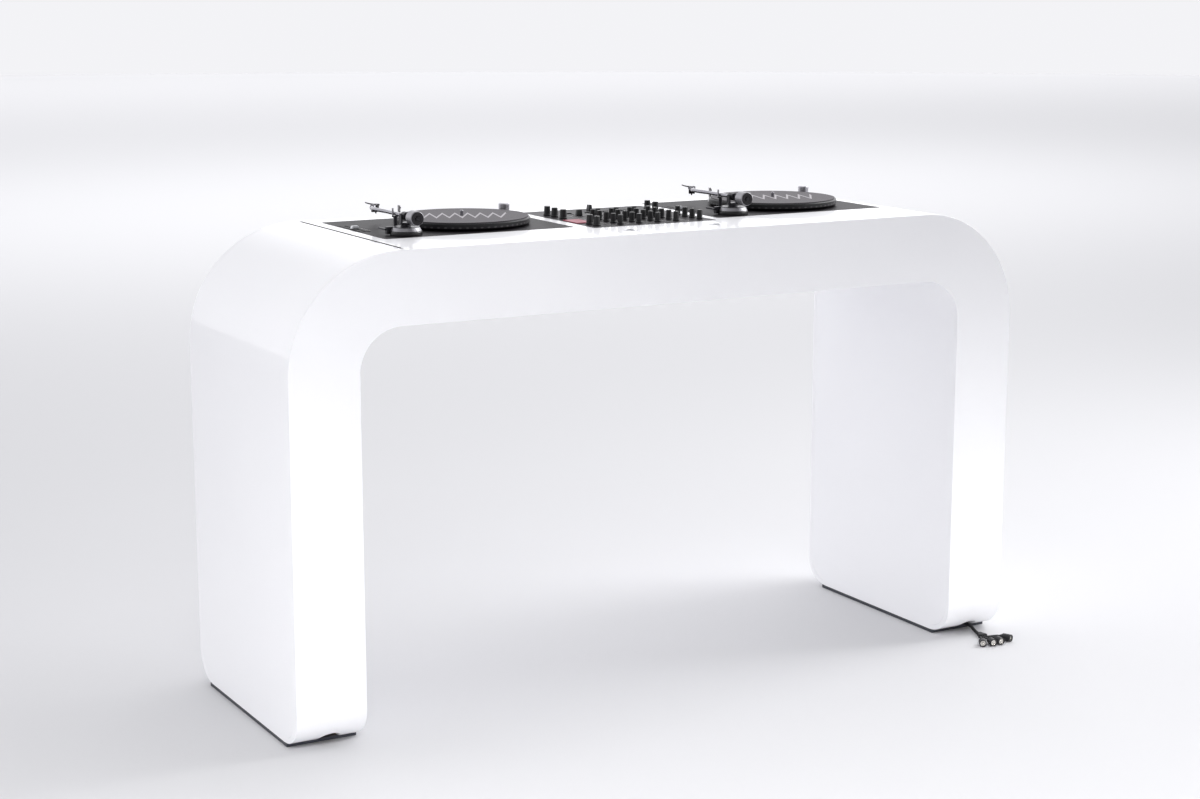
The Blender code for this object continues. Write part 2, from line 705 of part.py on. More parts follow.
def arm_geometry():
    """The arm's reach and the heading of its straight part at rest, in degrees from +X."""
    across = platter_place()[0] - pivot_place()[0]
    along = platter_place()[1] - pivot_place()[1]
    mounting = math.hypot(across, along)
    reach = mounting + OVERHANG
    at_rest = PLATTER_RADIUS + REST_CLEARANCE
    swing = math.acos((mounting**2 + reach**2 - at_rest**2) / (2 * mounting * reach))
    stylus_heading = math.atan2(along, across) + swing
    return reach, math.degrees(stylus_heading) + STEM_ANGLE


def corner_feet(width, length):
    """Four round feet, each with a block that joins it to the case's walls."""
    x, y = width / 2 - FOOT_RADIUS, length / 2 - FOOT_RADIUS
    low, high = -EQUIPMENT_DEPTH, -CASE_DEPTH + FOOT_BLOCK
    feet = [moved(rod(FOOT_RADIUS - FIT, low, high, 12), (i * x, j * y, 0)) for i in (-1, 1) for j in (-1, 1)]
    return together(*feet)


def motor_well():
    """Room in the case for the platter's rotor, round a stator that stays on the cup's floor."""
    stator_top = -ROTOR_DEPTH - ROTOR_THICKNESS - AIR_GAP
    bore = SHAFT_RADIUS + RUNNING
    profile = [
        (0, FIT),
        (0, -WELL_DEPTH),
        (bore, -WELL_DEPTH),
        (bore, stator_top),
        (STATOR_RADIUS, stator_top),
        (STATOR_RADIUS, -WELL_DEPTH),
        (WELL_RADIUS, -WELL_DEPTH),
        (WELL_RADIUS, FIT),
    ]
    return moved(turned(profile, 24), (*platter_place(), 0))


def make_deck_case(side, deck):
    """A tub, open below, with the motor's cup and stator, four feet, the stylus lamp and the plate's wells."""
    block = prism(rectangle(DECK_WIDTH, DECK_LENGTH, CASE_CORNER), -CASE_DEPTH, 0)
    case = solid(f"{side}_deck_case", block, dark_plate, parent=deck)
    hollow = rectangle(DECK_WIDTH - 2 * CASE_WALL, DECK_LENGTH - 2 * CASE_WALL)
    cut(case, prism(hollow, -CASE_DEPTH - FIT, -DECK_PLATE))
    x, y = platter_place()
    cup = moved(rod(WELL_RADIUS + WELL_WALL, -WELL_DEPTH - WELL_WALL, -DECK_PLATE / 2, 24), (x, y, 0))
    lamp = moved(rod(LAMP_RADIUS, -DECK_PLATE / 2, LAMP_HEIGHT, 12), (*lamp_place(), 0))
    join(case, cup, lamp, corner_feet(DECK_WIDTH, DECK_LENGTH))
    wells = [motor_well()]
    button_well = BUTTON_BODY + BUTTON_TRAVEL + RUNNING
    for place, size in [(start_place(), START_SIZE)] + [(place, SPEED_SIZE) for place in speed_places()]:
        outline = rectangle(size[0] + 2 * RUNNING, size[1] + 2 * RUNNING)
        wells.append(moved(prism(outline, -button_well, FIT), (*place, 0)))
    slot = rectangle(STEM_WIDTH + 2 * RUNNING, PITCH_TRAVEL + PITCH_SIZE[1])
    wells.append(moved(prism(slot, -STEM_REACH - RUNNING, FIT), (*pitch_place(), 0)))
    wells.append(moved(rod(DIAL_RADIUS + RUNNING, -DIAL_RECESS, FIT, 24), (*dial_place(), 0)))
    cut(case, together(*wells))


def start_place():
    return DECK_WIDTH / 2 - START_INSET[0], DECK_LENGTH / 2 - START_INSET[1]


def speed_places():
    """Centres of the 33 and 45 buttons, beside the start button."""
    x, y = DECK_WIDTH / 2 - SPEED_INSET[0], DECK_LENGTH / 2 - SPEED_INSET[1]
    return [(x, y), (x - SPEED_PITCH, y)]


def dial_place():
    return DECK_WIDTH / 2 - DIAL_INSET_X, DECK_LENGTH / 2 - DIAL_INSET_Y


def lamp_place():
    return -DECK_WIDTH / 2 + LAMP_INSET[0], DECK_LENGTH / 2 - LAMP_INSET[1]


def pitch_place():
    return -DECK_WIDTH / 2 + PITCH_INSET[0], DECK_LENGTH / 2 - PITCH_INSET[1]


def make_platter(side, deck):
    axis = group(f"{side}_platter_axis", (*platter_place(), 0), parent=deck)
    bore = BOSS_RADIUS + FIT
    hub_low = -ROTOR_DEPTH + FIT
    rim = PLATTER_RADIUS
    profile = [
        (bore, hub_low),
        (HUB_RADIUS, hub_low),
        (HUB_RADIUS, WEB_UNDERSIDE),
        (rim - RIM_WIDTH, WEB_UNDERSIDE),
        (rim - RIM_WIDTH, PLATTER_GAP),
        (rim - PLATTER_BEVEL, PLATTER_GAP),
        (rim, PLATTER_GAP + PLATTER_BEVEL),
        (rim, PLATTER_TOP - PLATTER_CHAMFER),
        (rim - PLATTER_CHAMFER, PLATTER_TOP),
        (bore, PLATTER_TOP),
    ]
    solid(f"{side}_deck_platter", turned(profile, 36), silver_metal, parent=axis)

    rotor_top, rotor_low = -ROTOR_DEPTH, -ROTOR_DEPTH - ROTOR_THICKNESS
    boss_top = PLATTER_TOP - FIT
    tip = PLATTER_TOP + SPINDLE_RISE
    spindle = [
        (0, -WELL_DEPTH + AIR_GAP),
        (SHAFT_RADIUS, -WELL_DEPTH + AIR_GAP),
        (SHAFT_RADIUS, rotor_low),
        (ROTOR_RADIUS, rotor_low),
        (ROTOR_RADIUS, rotor_top),
        (BOSS_RADIUS, rotor_top),
        (BOSS_RADIUS, boss_top),
        (SPINDLE_RADIUS, boss_top),
        (SPINDLE_RADIUS, tip - SPINDLE_RADIUS / 2),
        (SPINDLE_RADIUS / 2, tip),
        (0, tip),
    ]
    solid(f"{side}_deck_spindle", turned(spindle, 16), silver_metal, parent=axis)

    hole, low = SPINDLE_RADIUS + RUNNING, PLATTER_TOP + FIT
    mat = [(hole, low), (MAT_RADIUS, low), (MAT_RADIUS, low + MAT_THICKNESS), (hole, low + MAT_THICKNESS)]
    solid(f"{side}_deck_slipmat", turned(mat, 36), grey_felt, parent=axis)


def curve_between(start, start_heading, end, end_heading, steps):
    """Points of a cubic from one place and heading to another, in the plane, headings in radians."""
    pull = math.dist(start, end)
    points = []
    for i in range(1, steps + 1):
        t = i / steps
        a, b = 2 * t**3 - 3 * t**2 + 1, t**3 - 2 * t**2 + t
        c, d = -2 * t**3 + 3 * t**2, t**3 - t**2
        points.append(
            tuple(
                a * start[k]
                + b * pull * (math.cos, math.sin)[k](start_heading)
                + c * end[k]
                + d * pull * (math.cos, math.sin)[k](end_heading)
                for k in (0, 1)
            )
        )
    return points


def tube_path():
    """The arm's tube from its rear end to the headshell's collar, as (x, y, radius) about the pivot.

    +X runs along the straight part and -Y towards the platter. After the straight part the tube leans out
    a little, and then turns in to the headshell's offset angle.
    """
    reach = arm_geometry()[0]
    stylus_line = -math.radians(STEM_ANGLE)
    shell_heading = stylus_line - math.radians(OFFSET_ANGLE)
    stylus = (reach * math.cos(stylus_line), reach * math.sin(stylus_line))
    collar = (
        stylus[0] - SHELL_LENGTH * math.cos(shell_heading),
        stylus[1] - SHELL_LENGTH * math.sin(shell_heading),
    )
    stem_end = (STEM_LENGTH, 0.0)
    bulge = (STEM_LENGTH + (collar[0] - STEM_LENGTH) * BULGE_SHARE, BULGE_WIDTH)
    outward = math.radians(BULGE_ANGLE)
    way = (math.cos(shell_heading), math.sin(shell_heading))
    neck = (collar[0] - COLLAR_LENGTH * way[0], collar[1] - COLLAR_LENGTH * way[1])
    path = [(-STUB_LENGTH, 0, STUB_RADIUS), (-ARM_HUB_REAR - TUBE_STEP, 0, STUB_RADIUS)]
    path += [(-ARM_HUB_REAR, 0, ARM_HUB_RADIUS), (ARM_HUB_FRONT, 0, ARM_HUB_RADIUS)]
    path += [(ARM_HUB_FRONT + TUBE_STEP, 0, TUBE_RADIUS), (*stem_end, TUBE_RADIUS)]
    path += [(*point, TUBE_RADIUS) for point in curve_between(stem_end, 0, bulge, outward, 3)]
    path += [(*point, TUBE_RADIUS) for point in curve_between(bulge, outward, neck, shell_heading, 7)]
    path.append((neck[0] + TUBE_STEP * way[0], neck[1] + TUBE_STEP * way[1], COLLAR_RADIUS))
    path.append((*collar, COLLAR_RADIUS))
    return path, collar, math.degrees(shell_heading)


def tube(name, points, radii, look, sides=2, parent=None):
    """A round bar through points, as a bevelled curve with filled ends."""
    curve = bpy.data.curves.new(name, "CURVE")
    curve.dimensions = "3D"
    curve.bevel_depth = 0.001
    curve.bevel_resolution = sides
    curve.use_fill_caps = True
    spline = curve.splines.new("POLY")
    spline.points.add(len(points) - 1)
    for point, place, radius in zip(spline.points, points, radii):
        point.co = (*place, 1)
        point.radius = radius / curve.bevel_depth
    curve.materials.append(look(name))
    piece = bpy.data.objects.new(name, curve)
    piece.parent = parent
    bpy.context.scene.collection.objects.link(piece)
    return piece


def make_tonearm(side, arm):
    """The tilting assembly on its own axis: tube, headshell and counterweight."""
    lift = group(f"{side}_arm_lift_axis", (0, 0, ARM_HEIGHT), parent=arm)
    path, collar, shell_heading = tube_path()
    tube(
        f"{side}_deck_tonearm",
        [(x, y, 0) for x, y, _ in path],
        [radius for _, _, radius in path],
        silver_metal,
        parent=lift,
    )
    make_headshell(side, lift, collar, shell_heading)

    dial_end = -WEIGHT_OFFSET - DIAL_RING
    bore = STUB_RADIUS + RUNNING
    weight = [
        (bore, -WEIGHT_OFFSET),
        (bore, -WEIGHT_OFFSET - WEIGHT_LENGTH),
        (WEIGHT_RADIUS - WEIGHT_CHAMFER, -WEIGHT_OFFSET - WEIGHT_LENGTH),
        (WEIGHT_RADIUS, -WEIGHT_OFFSET - WEIGHT_LENGTH + WEIGHT_CHAMFER),
        (WEIGHT_RADIUS, dial_end),
        (DIAL_RING_RADIUS, dial_end),
        (DIAL_RING_RADIUS, -WEIGHT_OFFSET),
    ]
    shape = moved(turned(weight, 20), turn=(90, "Y"))
    solid(f"{side}_deck_counterweight", shape, silver_metal, parent=lift)


def make_headshell(side, lift, collar, heading):
    """Plate, cartridge, stylus and finger lift in one, with room for a record under the stylus."""
    drop = ARM_HEIGHT - (PLATTER_TOP + FIT + MAT_THICKNESS + RECORD_GAP)
    half, front = SHELL_WIDTH / 2, SHELL_LENGTH + SHELL_OVERHANG
    plate = box((NECK_LENGTH - SHELL_OVERLAP, -half, -SHELL_PLATE / 2), (front, half, SHELL_PLATE / 2))
    shell = solid(f"{side}_deck_headshell", plate, black_plastic, (*collar, 0), heading, lift)
    rear, cartridge_half = SHELL_LENGTH - CARTRIDGE_LENGTH, CARTRIDGE_WIDTH / 2
    cartridge_low = -drop + STYLUS_HEIGHT
    finger_tip = half + FINGER_LENGTH
    finger = [
        (half - SHELL_OVERLAP, 0),
        (finger_tip, FINGER_RISE),
        (finger_tip, FINGER_RISE + SHELL_PLATE / 2),
        (half - SHELL_OVERLAP, SHELL_PLATE / 3),
    ]
    join(
        shell,
        moved(rod(NECK_RADIUS, FIT, NECK_LENGTH + SHELL_OVERLAP, 12), turn=(90, "Y")),
        box((rear, -cartridge_half, cartridge_low), (SHELL_LENGTH, cartridge_half, 0)),
        box(
            (SHELL_LENGTH - 2 * STYLUS_HALF, -STYLUS_HALF, -drop),
            (SHELL_LENGTH - FIT, STYLUS_HALF, cartridge_low + SHELL_OVERLAP),
        ),
        prism(finger, SHELL_LENGTH - FINGER_WIDTH, SHELL_LENGTH, "X"),
    )


def make_arm_base(side, arm):
    """Round base and column, with a bar to the arm rest and a lug for the cue lever, all fixed."""
    base, top, bar_low, bar_top = ARM_BASE_RADIUS, ARM_BASE_HEIGHT, ARM_BASE_STEP / 3, ARM_BASE_STEP
    profile = [
        (0, FIT),
        (base, FIT),
        (base, ARM_BASE_STEP),
        (base - ARM_BASE_STEP, top),
        (COLUMN_RADIUS, top),
        (COLUMN_RADIUS, COLUMN_HEIGHT),
        (0, COLUMN_HEIGHT),
    ]
    piece = solid(f"{side}_deck_arm_base", turned(profile, 24), silver_metal, parent=arm)
    saddle = ARM_HEIGHT - TUBE_RADIUS - RUNNING
    inner = TUBE_RADIUS + RUNNING
    outer = inner + PRONG
    lug_y = base + CUE_LUG / 2
    join(
        piece,
        box((base - 2 * ARM_BASE_STEP, -POST_RADIUS, bar_low), (REST_DISTANCE, POST_RADIUS, bar_top)),
        moved(rod(POST_RADIUS, bar_low, saddle - PRONG / 2, 12), (REST_DISTANCE, 0, 0)),
        box((REST_DISTANCE - PRONG, -POST_RADIUS, saddle - PRONG), (REST_DISTANCE + PRONG, outer, saddle)),
        box(
            (REST_DISTANCE - PRONG / 2, inner, saddle - PRONG / 2),
            (REST_DISTANCE + PRONG / 2, outer, ARM_HEIGHT + PRONG_RISE),
        ),
        box((CUE_X - CUE_LUG / 2, base - CUE_LUG, bar_low), (CUE_X + CUE_LUG / 2, lug_y, top)),
    )
    bore = moved(rod(CUE_SHAFT_RADIUS + FIT, 0, 2 * CUE_LUG, 12), turn=(-90, "X"))
    cut(piece, moved(bore, (CUE_X, lug_y - CUE_SHAFT_LENGTH - FIT, CUE_Z)))


def make_yoke(side, arm):
    """The swinging fork that carries the arm between two ears, cut straight behind them for the weight."""
    axis = group(f"{side}_arm_swing_axis", parent=arm)
    low = COLUMN_HEIGHT + FIT
    inner = ARM_HUB_RADIUS + RUNNING
    outer, half, top = inner + EAR, EAR_WIDTH / 2, ARM_HEIGHT + EAR_WIDTH / 2
    reach = math.degrees(math.acos(-half / YOKE_RADIUS))
    disc = prism(arc((0, 0), YOKE_RADIUS, -reach, reach, 14), low, low + YOKE_PLATE)
    yoke = solid(f"{side}_deck_arm_yoke", disc, silver_metal, parent=axis)
    join(yoke, box((-half, inner, low), (half, outer, top)), box((-half, -outer, low), (half, -inner, top)))


def make_cue_lever(side, arm):
    """A lever on a cross shaft in the arm base's lug, lying forward at rest."""
    place = (CUE_X, ARM_BASE_RADIUS + CUE_LUG / 2, CUE_Z)
    half = CUE_THICKNESS / 2
    shaft = moved(rod(CUE_SHAFT_RADIUS, -CUE_SHAFT_LENGTH, CUE_THICKNESS, 12), turn=(-90, "X"))
    lever = solid(f"{side}_deck_cue_lever", shaft, silver_metal, place, parent=arm)
    join(lever, box((-CUE_THICKNESS, FIT, -half), (CUE_LENGTH, CUE_THICKNESS + FIT, half)))


def make_deck_controls(side, deck):
    for name, place, size in (
        ("start_button", start_place(), START_SIZE),
        ("speed_33_button", speed_places()[0], SPEED_SIZE),
        ("speed_45_button", speed_places()[1], SPEED_SIZE),
    ):
        cap = prism(rectangle(*size, BUTTON_CORNER, 2), -BUTTON_BODY, BUTTON_RISE)
        solid(f"{side}_deck_{name}", cap, silver_metal, (*place, 0), parent=deck)

    dial = [
        (0, -DIAL_RECESS + FIT),
        (DIAL_RADIUS, -DIAL_RECESS + FIT),
        (DIAL_RADIUS, DIAL_HEIGHT - DIAL_CHAMFER),
        (DIAL_RADIUS - DIAL_CHAMFER, DIAL_HEIGHT),
        (0, DIAL_HEIGHT),
    ]
    solid(f"{side}_deck_power_dial", turned(dial, 16), silver_metal, (*dial_place(), 0), parent=deck)
    knob = fader_mesh(PITCH_SIZE)
    solid(f"{side}_deck_pitch_knob", knob, silver_metal, (*pitch_place(), 0), parent=deck)


def fader_mesh(size):
    """A fader's cap, tapered above its lower third, with the stem below it."""
    width, length, height = size
    rings = (
        (STEM_WIDTH, length * STEM_SHARE, -STEM_REACH),
        (STEM_WIDTH, length * STEM_SHARE, FIT),
        (width, length, FIT),
        (width, length, height / 3),
        (width * CAP_TAPER[0], length * CAP_TAPER[1], height),
    )
    cap = bmesh.new()
    loops = [[cap.verts.new((x, y, z)) for x, y in rectangle(wide, long)] for wide, long, z in rings]
    cap.faces.new(loops[0])
    cap.faces.new(loops[-1])
    for low, high in zip(loops, loops[1:]):
        for k in range(len(low)):
            after = (k + 1) % len(low)
            cap.faces.new((low[k], low[after], high[after], high[k]))
    bmesh.ops.recalc_face_normals(cap, faces=cap.faces)
    return cap


def make_deck(side, x):
    deck = group(f"{side}_deck_place", (x, DECK_Y, HEIGHT))
    arm = group(f"{side}_arm_place", (*pivot_place(), 0), arm_geometry()[1], deck)
    make_deck_case(side, deck)
    make_platter(side, deck)
    make_arm_base(side, arm)
    make_yoke(side, arm)
    make_tonearm(side, arm)
    make_cue_lever(side, arm)
    make_deck_controls(side, deck)


# Mixer


def channel_places():
    """Channel strips' places across the mixer, from the DJ's right to the DJ's left."""
    return [(i - (CHANNELS - 1) / 2) * CHANNEL_PITCH + CHANNEL_SHIFT for i in range(CHANNELS)]


def make_mixer_case(mixer):
    block = prism(rectangle(MIXER_WIDTH, MIXER_LENGTH, CASE_CORNER), -CASE_DEPTH, 0)
    case = solid("mixer_case", block, dark_plate, parent=mixer)
    hollow = rectangle(MIXER_WIDTH - 2 * MIXER_WALL, MIXER_LENGTH - 2 * MIXER_WALL)
    cut(case, prism(hollow, -CASE_DEPTH - FIT, -MIXER_PLATE))
    display = moved(prism(rectangle(*DISPLAY_SIZE[:2]), -FIT, DISPLAY_SIZE[2]), (*DISPLAY_CENTRE, 0))
    join(case, corner_feet(MIXER_WIDTH, MIXER_LENGTH), display)
    slot = STEM_WIDTH + 2 * RUNNING
    floor = -STEM_REACH - RUNNING
    along = rectangle(slot, FADER_TRAVEL + FADER_CAP[1])
    across = rectangle(CROSSFADER_TRAVEL + FADER_CAP[1], slot)
    slots = [moved(prism(along, floor, FIT), (x, FADER_CENTRE, 0)) for x in channel_places()]
    slots.append(moved(prism(across, floor, FIT), (0, CROSSFADER_CENTRE, 0)))
    bore = SHAFT_RADIUS_MIXER + FIT
    for _, x, y, _ in knob_places():
        slots.append(moved(rod(bore, -MIXER_PLATE - FIT, FIT, 8), (x, y, 0)))
    cut(case, together(*slots))


def knob_places():
    """Every knob as (name, x, y, scale); those with a name of their own turn."""
    left, right = SIDE_COLUMNS
    upper = [-row * ROW_PITCH for row in STRIP_ROWS]
    lower = [row * ROW_PITCH for row in LOWER_ROWS]
    places = [(None, x, y, 1.0) for x in channel_places() for y in upper]
    places += [(None, left, y, BIG_KNOB) for y in (upper[1], *lower[1:])]
    places += [(None, right, y, 1.0) for y in upper[:-1]]
    places += [(None, right, y, BIG_KNOB) for y in lower[1:]]
    places += [("master_level_knob", left, upper[0], BIG_KNOB)]
    places += [("booth_level_knob", left, lower[0], BIG_KNOB)]
    return places


def knob_mesh(scale):
    """A tapered knob with its shaft below."""
    r, h, shaft = KNOB_RADIUS * scale, KNOB_HEIGHT, SHAFT_RADIUS_MIXER
    low = -MIXER_PLATE - FIT
    return turned([(0, low), (shaft, low), (shaft, FIT), (r, FIT), (r * KNOB_TAPER, h), (0, h)], 8)


def make_knobs(mixer):
    """The turning knobs, and the others on their board under the faceplate."""
    top = -MIXER_PLATE - FIT
    width = MIXER_WIDTH - 2 * (MIXER_WALL + BOARD_INSET)
    length = MIXER_LENGTH - 2 * (MIXER_WALL + BOARD_INSET + FOOT_RADIUS)
    fixed = []
    for name, x, y, scale in knob_places():
        if name:
            solid(name, knob_mesh(scale), black_plastic, (x, y, 0), parent=mixer)
        else:
            fixed.append(moved(knob_mesh(scale), (x, y, 0)))
    sheet = prism(rectangle(width, length), top - BOARD_THICKNESS, top)
    board = solid("mixer_knob_board", sheet, black_plastic, parent=mixer)
    join(board, together(*fixed))


def make_mixer():
    mixer = group("mixer_place", (MIXER_X, MIXER_Y, HEIGHT))
    make_mixer_case(mixer)
    make_knobs(mixer)
    for number, x in enumerate(reversed(channel_places()), 1):
        place = (x, FADER_CENTRE, 0)
        solid(f"channel_fader_{number}", fader_mesh(FADER_CAP), black_plastic, place, parent=mixer)
    place = (0, CROSSFADER_CENTRE, 0)
    solid("crossfader", fader_mesh(FADER_CAP), black_plastic, place, 90.0, parent=mixer)


# Cable loom


def smooth_route(points, spacing):
    """Evenly spaced points along a route, its first and last runs straight and a smooth curve between."""
    route = np.array(points, float)
    fine = [route[1]]
    for a, b, c, d in zip(route, route[1:], route[2:], route[3:]):
        for t in np.linspace(0, 1, 17)[1:]:
            rise = 2 * a - 5 * b + 4 * c - d
            turn = 3 * b - a - 3 * c + d
            fine.append(0.5 * (2 * b + (c - a) * t + rise * t**2 + turn * t**3))
    fine = np.array(fine)
    along = np.concatenate([[0], np.cumsum(np.linalg.norm(np.diff(fine, axis=0), axis=1))])
    places = np.linspace(0, along[-1], max(3, round(along[-1] / spacing) + 1))
    middle = [[np.interp(s, along, fine[:, k]) for k in range(3)] for s in places]
    return [tuple(float(value) for value in point) for point in [route[0], *middle, route[-1]]]


def cord(name, points, radius, loom):
    """A free cord along hand-chosen points, square at both ends to what it meets."""
    route = smooth_route(points, 4 * radius)
    return tube(name, route, [radius] * len(route), black_rubber, parent=loom)


def make_gland(loom):
    """An arched rubber bush standing on the plinth in the right notch, with a tapered nose."""
    width, length, height = GLAND_SIZE
    half = width / 2
    arch = [(-half, 0), (half, 0)] + arc((0, height - half), half, 0, 180, 8)
    tip, reach = TRUNK_RADIUS + NOSE_WALL, GLAND_NOSE + FIT
    nose = turned([(0, 0), (height / 2, 0), (tip, reach), (0, reach)], 12)
    seat = (0, 0, PLINTH_HEIGHT + FIT)
    gland = solid("loom_gland", prism(arch, 0, length, "Y"), black_rubber, seat, parent=loom)
    join(gland, moved(nose, (0, FIT, height / 2), (90, "X")))


def splitter_point(forward, across, height):
    """A point in the splitter's own axes, in the loom's."""
    heading = math.radians(SPLITTER_HEADING)
    x = SPLITTER_PLACE[0] + forward * math.cos(heading) - across * math.sin(heading)
    y = SPLITTER_PLACE[1] + forward * math.sin(heading) + across * math.cos(heading)
    return x, y, height


def make_loom():
    loom = group("loom_place", (LEG_MIDDLE + GLAND_SHIFT, GLAND_SETBACK - HALF_DEPTH, 0))
    make_gland(loom)
    gland_axis = FOOT_Z + GLAND_SIZE[2] / 2
    route = [(0, -GLAND_NOSE - FIT, gland_axis), (0, -GLAND_NOSE - TRUNK_RADIUS, gland_axis), *TRUNK_ROUTE]
    cord("loom_trunk", route, TRUNK_RADIUS, loom)

    rear, front = TRUNK_RADIUS + SPLITTER_WALL, SPLITTER_SPREAD * len(TAIL_ENDS) / 2
    outline = [(0, -rear), (SPLITTER_LENGTH / 3, -rear), (SPLITTER_LENGTH, -front)]
    outline += [(x, -y) for x, y in reversed(outline)]
    block = prism(outline, FIT, FIT + SPLITTER_HEIGHT)
    solid("loom_splitter", block, black_rubber, (*SPLITTER_PLACE, 0), SPLITTER_HEADING, loom)

    axis = SPLITTER_HEIGHT / 2
    plug_axis = PLUG_RADIUS + FIT
    for number, (end, heading) in enumerate(TAIL_ENDS, 1):
        across = (number - (len(TAIL_ENDS) + 1) / 2) * SPLITTER_SPREAD
        way = (math.cos(math.radians(heading)), math.sin(math.radians(heading)))
        route = [
            splitter_point(SPLITTER_LENGTH + FIT, across, axis),
            splitter_point(SPLITTER_LENGTH + TAIL_LEAD, across, axis),
            (end[0] - TAIL_LEAD * way[0], end[1] - TAIL_LEAD * way[1], plug_axis),
            (*end, plug_axis),
        ]
        cord(f"loom_tail_{number}", route, TAIL_RADIUS, loom)
        seat = (end[0] + FIT * way[0], end[1] + FIT * way[1], plug_axis)
        solid(f"loom_plug_{number}", plug_mesh(), black_rubber, seat, heading, loom)


def plug_mesh():
    """A round cable plug along +X: tapered boot, and a barrel with its contact face a little inside."""
    length = PLUG_BOOT + PLUG_BARREL
    profile = [
        (0, 0),
        (TAIL_RADIUS + NOSE_WALL, 0),
        (PLUG_RADIUS, PLUG_BOOT),
        (PLUG_RADIUS, length),
        (PLUG_FACE_RADIUS, length),
        (PLUG_FACE_RADIUS, length - PLUG_RECESS),
        (0, length - PLUG_RECESS),
    ]
    return moved(turned(profile, 12), turn=(90, "Y"))


def main():
    for old in list(bpy.data.objects):
        bpy.data.objects.remove(old)
    make_shell()
    make_plinths()
    make_inlays()
    make_carcass()
    make_deck("left", LEFT_DECK_X)
    make_deck("right", RIGHT_DECK_X)
    make_mixer()
    make_loom()
    settle_shapes()


main()
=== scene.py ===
# %% [markdown]
# # A DJ booth with two turntables and a mixer
#
# The booth is a square arch of bent white panels. Two turntables and a four-channel mixer are let into its
# worktop, each leg stands on a dark plinth, and a cable loom comes out at one foot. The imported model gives
# every piece its place, in metres, with +X to the audience's right, +Y towards the DJ and +Z up. This lesson
# dresses that model: it works out fine surfaces with numpy, gives each a finish made of nodes, and lights it
# all as a photographer would.

# %% Load the frame
import math

import bmesh
import bpy
import numpy as np
from mathutils import Matrix, Vector
from mathutils.geometry import delaunay_2d_cdt


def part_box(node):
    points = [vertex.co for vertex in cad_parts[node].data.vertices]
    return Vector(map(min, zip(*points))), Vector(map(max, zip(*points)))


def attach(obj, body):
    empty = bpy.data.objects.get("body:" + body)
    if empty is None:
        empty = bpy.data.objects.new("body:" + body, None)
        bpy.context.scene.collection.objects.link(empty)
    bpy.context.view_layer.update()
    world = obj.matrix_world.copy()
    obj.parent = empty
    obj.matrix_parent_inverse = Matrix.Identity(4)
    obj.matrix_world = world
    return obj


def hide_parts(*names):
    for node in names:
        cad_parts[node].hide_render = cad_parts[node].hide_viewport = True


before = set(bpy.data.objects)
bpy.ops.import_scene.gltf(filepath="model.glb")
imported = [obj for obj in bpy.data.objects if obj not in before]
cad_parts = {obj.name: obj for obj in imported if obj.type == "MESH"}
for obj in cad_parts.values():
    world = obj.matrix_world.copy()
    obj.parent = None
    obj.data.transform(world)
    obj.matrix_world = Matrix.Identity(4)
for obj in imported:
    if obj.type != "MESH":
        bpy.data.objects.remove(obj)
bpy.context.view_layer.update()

# %% [markdown]
# ## The camera
#
# A camera can be found from a picture of a thing whose size is known: corners of the booth were marked in the
# picture, and the place, heading and lens were fitted until the model's corners fell on them. The camera
# stands 4.9 m from the middle of the booth's front edge, at the audience's left, a little above the worktop,
# and looks down by 11 degrees.

# %% Camera
heading, tilt = math.radians(29.17), math.radians(-10.99)
camera = bpy.data.objects.new("camera", bpy.data.cameras.new("camera"))
bpy.context.scene.collection.objects.link(camera)
bpy.context.scene.camera = camera
camera.data.sensor_width = 36.0
camera.data.lens = 67.54
camera.location = (-2.5135, -4.4361, 1.6001)
aim = Vector((math.sin(heading) * math.cos(tilt), math.cos(heading) * math.cos(tilt), math.sin(tilt)))
camera.rotation_euler = aim.to_track_quat("-Z", "Y").to_euler()
print(f"camera: {camera.data.lens:.1f} mm lens, {camera.location.length:.2f} m from the origin")

# %% [markdown]
# ## Colours and nodes
#
# A picture's colours are written in sRGB, as hex values, but light adds up in linear values. One function
# turns the first into the second. A finish is a small graph of nodes, and one other function adds a node
# with its settings and its links. The rest here are the few steps that most finishes share.


# %% Colours and nodes
def linear(colour):
    """sRGB hex to linear: c / 12.92 up to 0.04045, and ((c + 0.055) / 1.055) to the power 2.4 above it."""
    parts = np.array([int(colour[i : i + 2], 16) for i in (1, 3, 5)]) / 255
    light = np.where(parts <= 0.04045, parts / 12.92, ((parts + 0.055) / 1.055) ** 2.4)
    return (*light.tolist(), 1.0)


def add(tree, kind, inputs=None, **settings):
    """A node with its own settings; an input takes a value, or the output of another node as a link."""
    node = tree.nodes.new(kind)
    for name, value in settings.items():
        setattr(node, name, value)
    for name, value in (inputs or {}).items():
        if isinstance(value, bpy.types.NodeSocket):
            tree.links.new(value, node.inputs[name])
        else:
            node.inputs[name].default_value = value
    return node


def finish(name, colour, roughness, **values):
    """A new material with one Principled shader; other socket values by name, with _ for each space."""
    material = bpy.data.materials.new(name)
    material.use_nodes = True
    shader = material.node_tree.nodes["Principled BSDF"]
    shader.inputs["Base Color"].default_value = linear(colour)
    shader.inputs["Roughness"].default_value = roughness
    for socket, value in values.items():
        shader.inputs[socket.replace("_", " ")].default_value = value
    material.diffuse_color = linear(colour)
    return material


def shader_of(material):
    """The one Principled shader of a material."""
    return material.node_tree.nodes["Principled BSDF"]


def maths(tree, operation, *values):
    """The result of a Math node, whose inputs are the values in their order."""
    return add(tree, "ShaderNodeMath", dict(enumerate(values)), operation=operation).outputs[0]


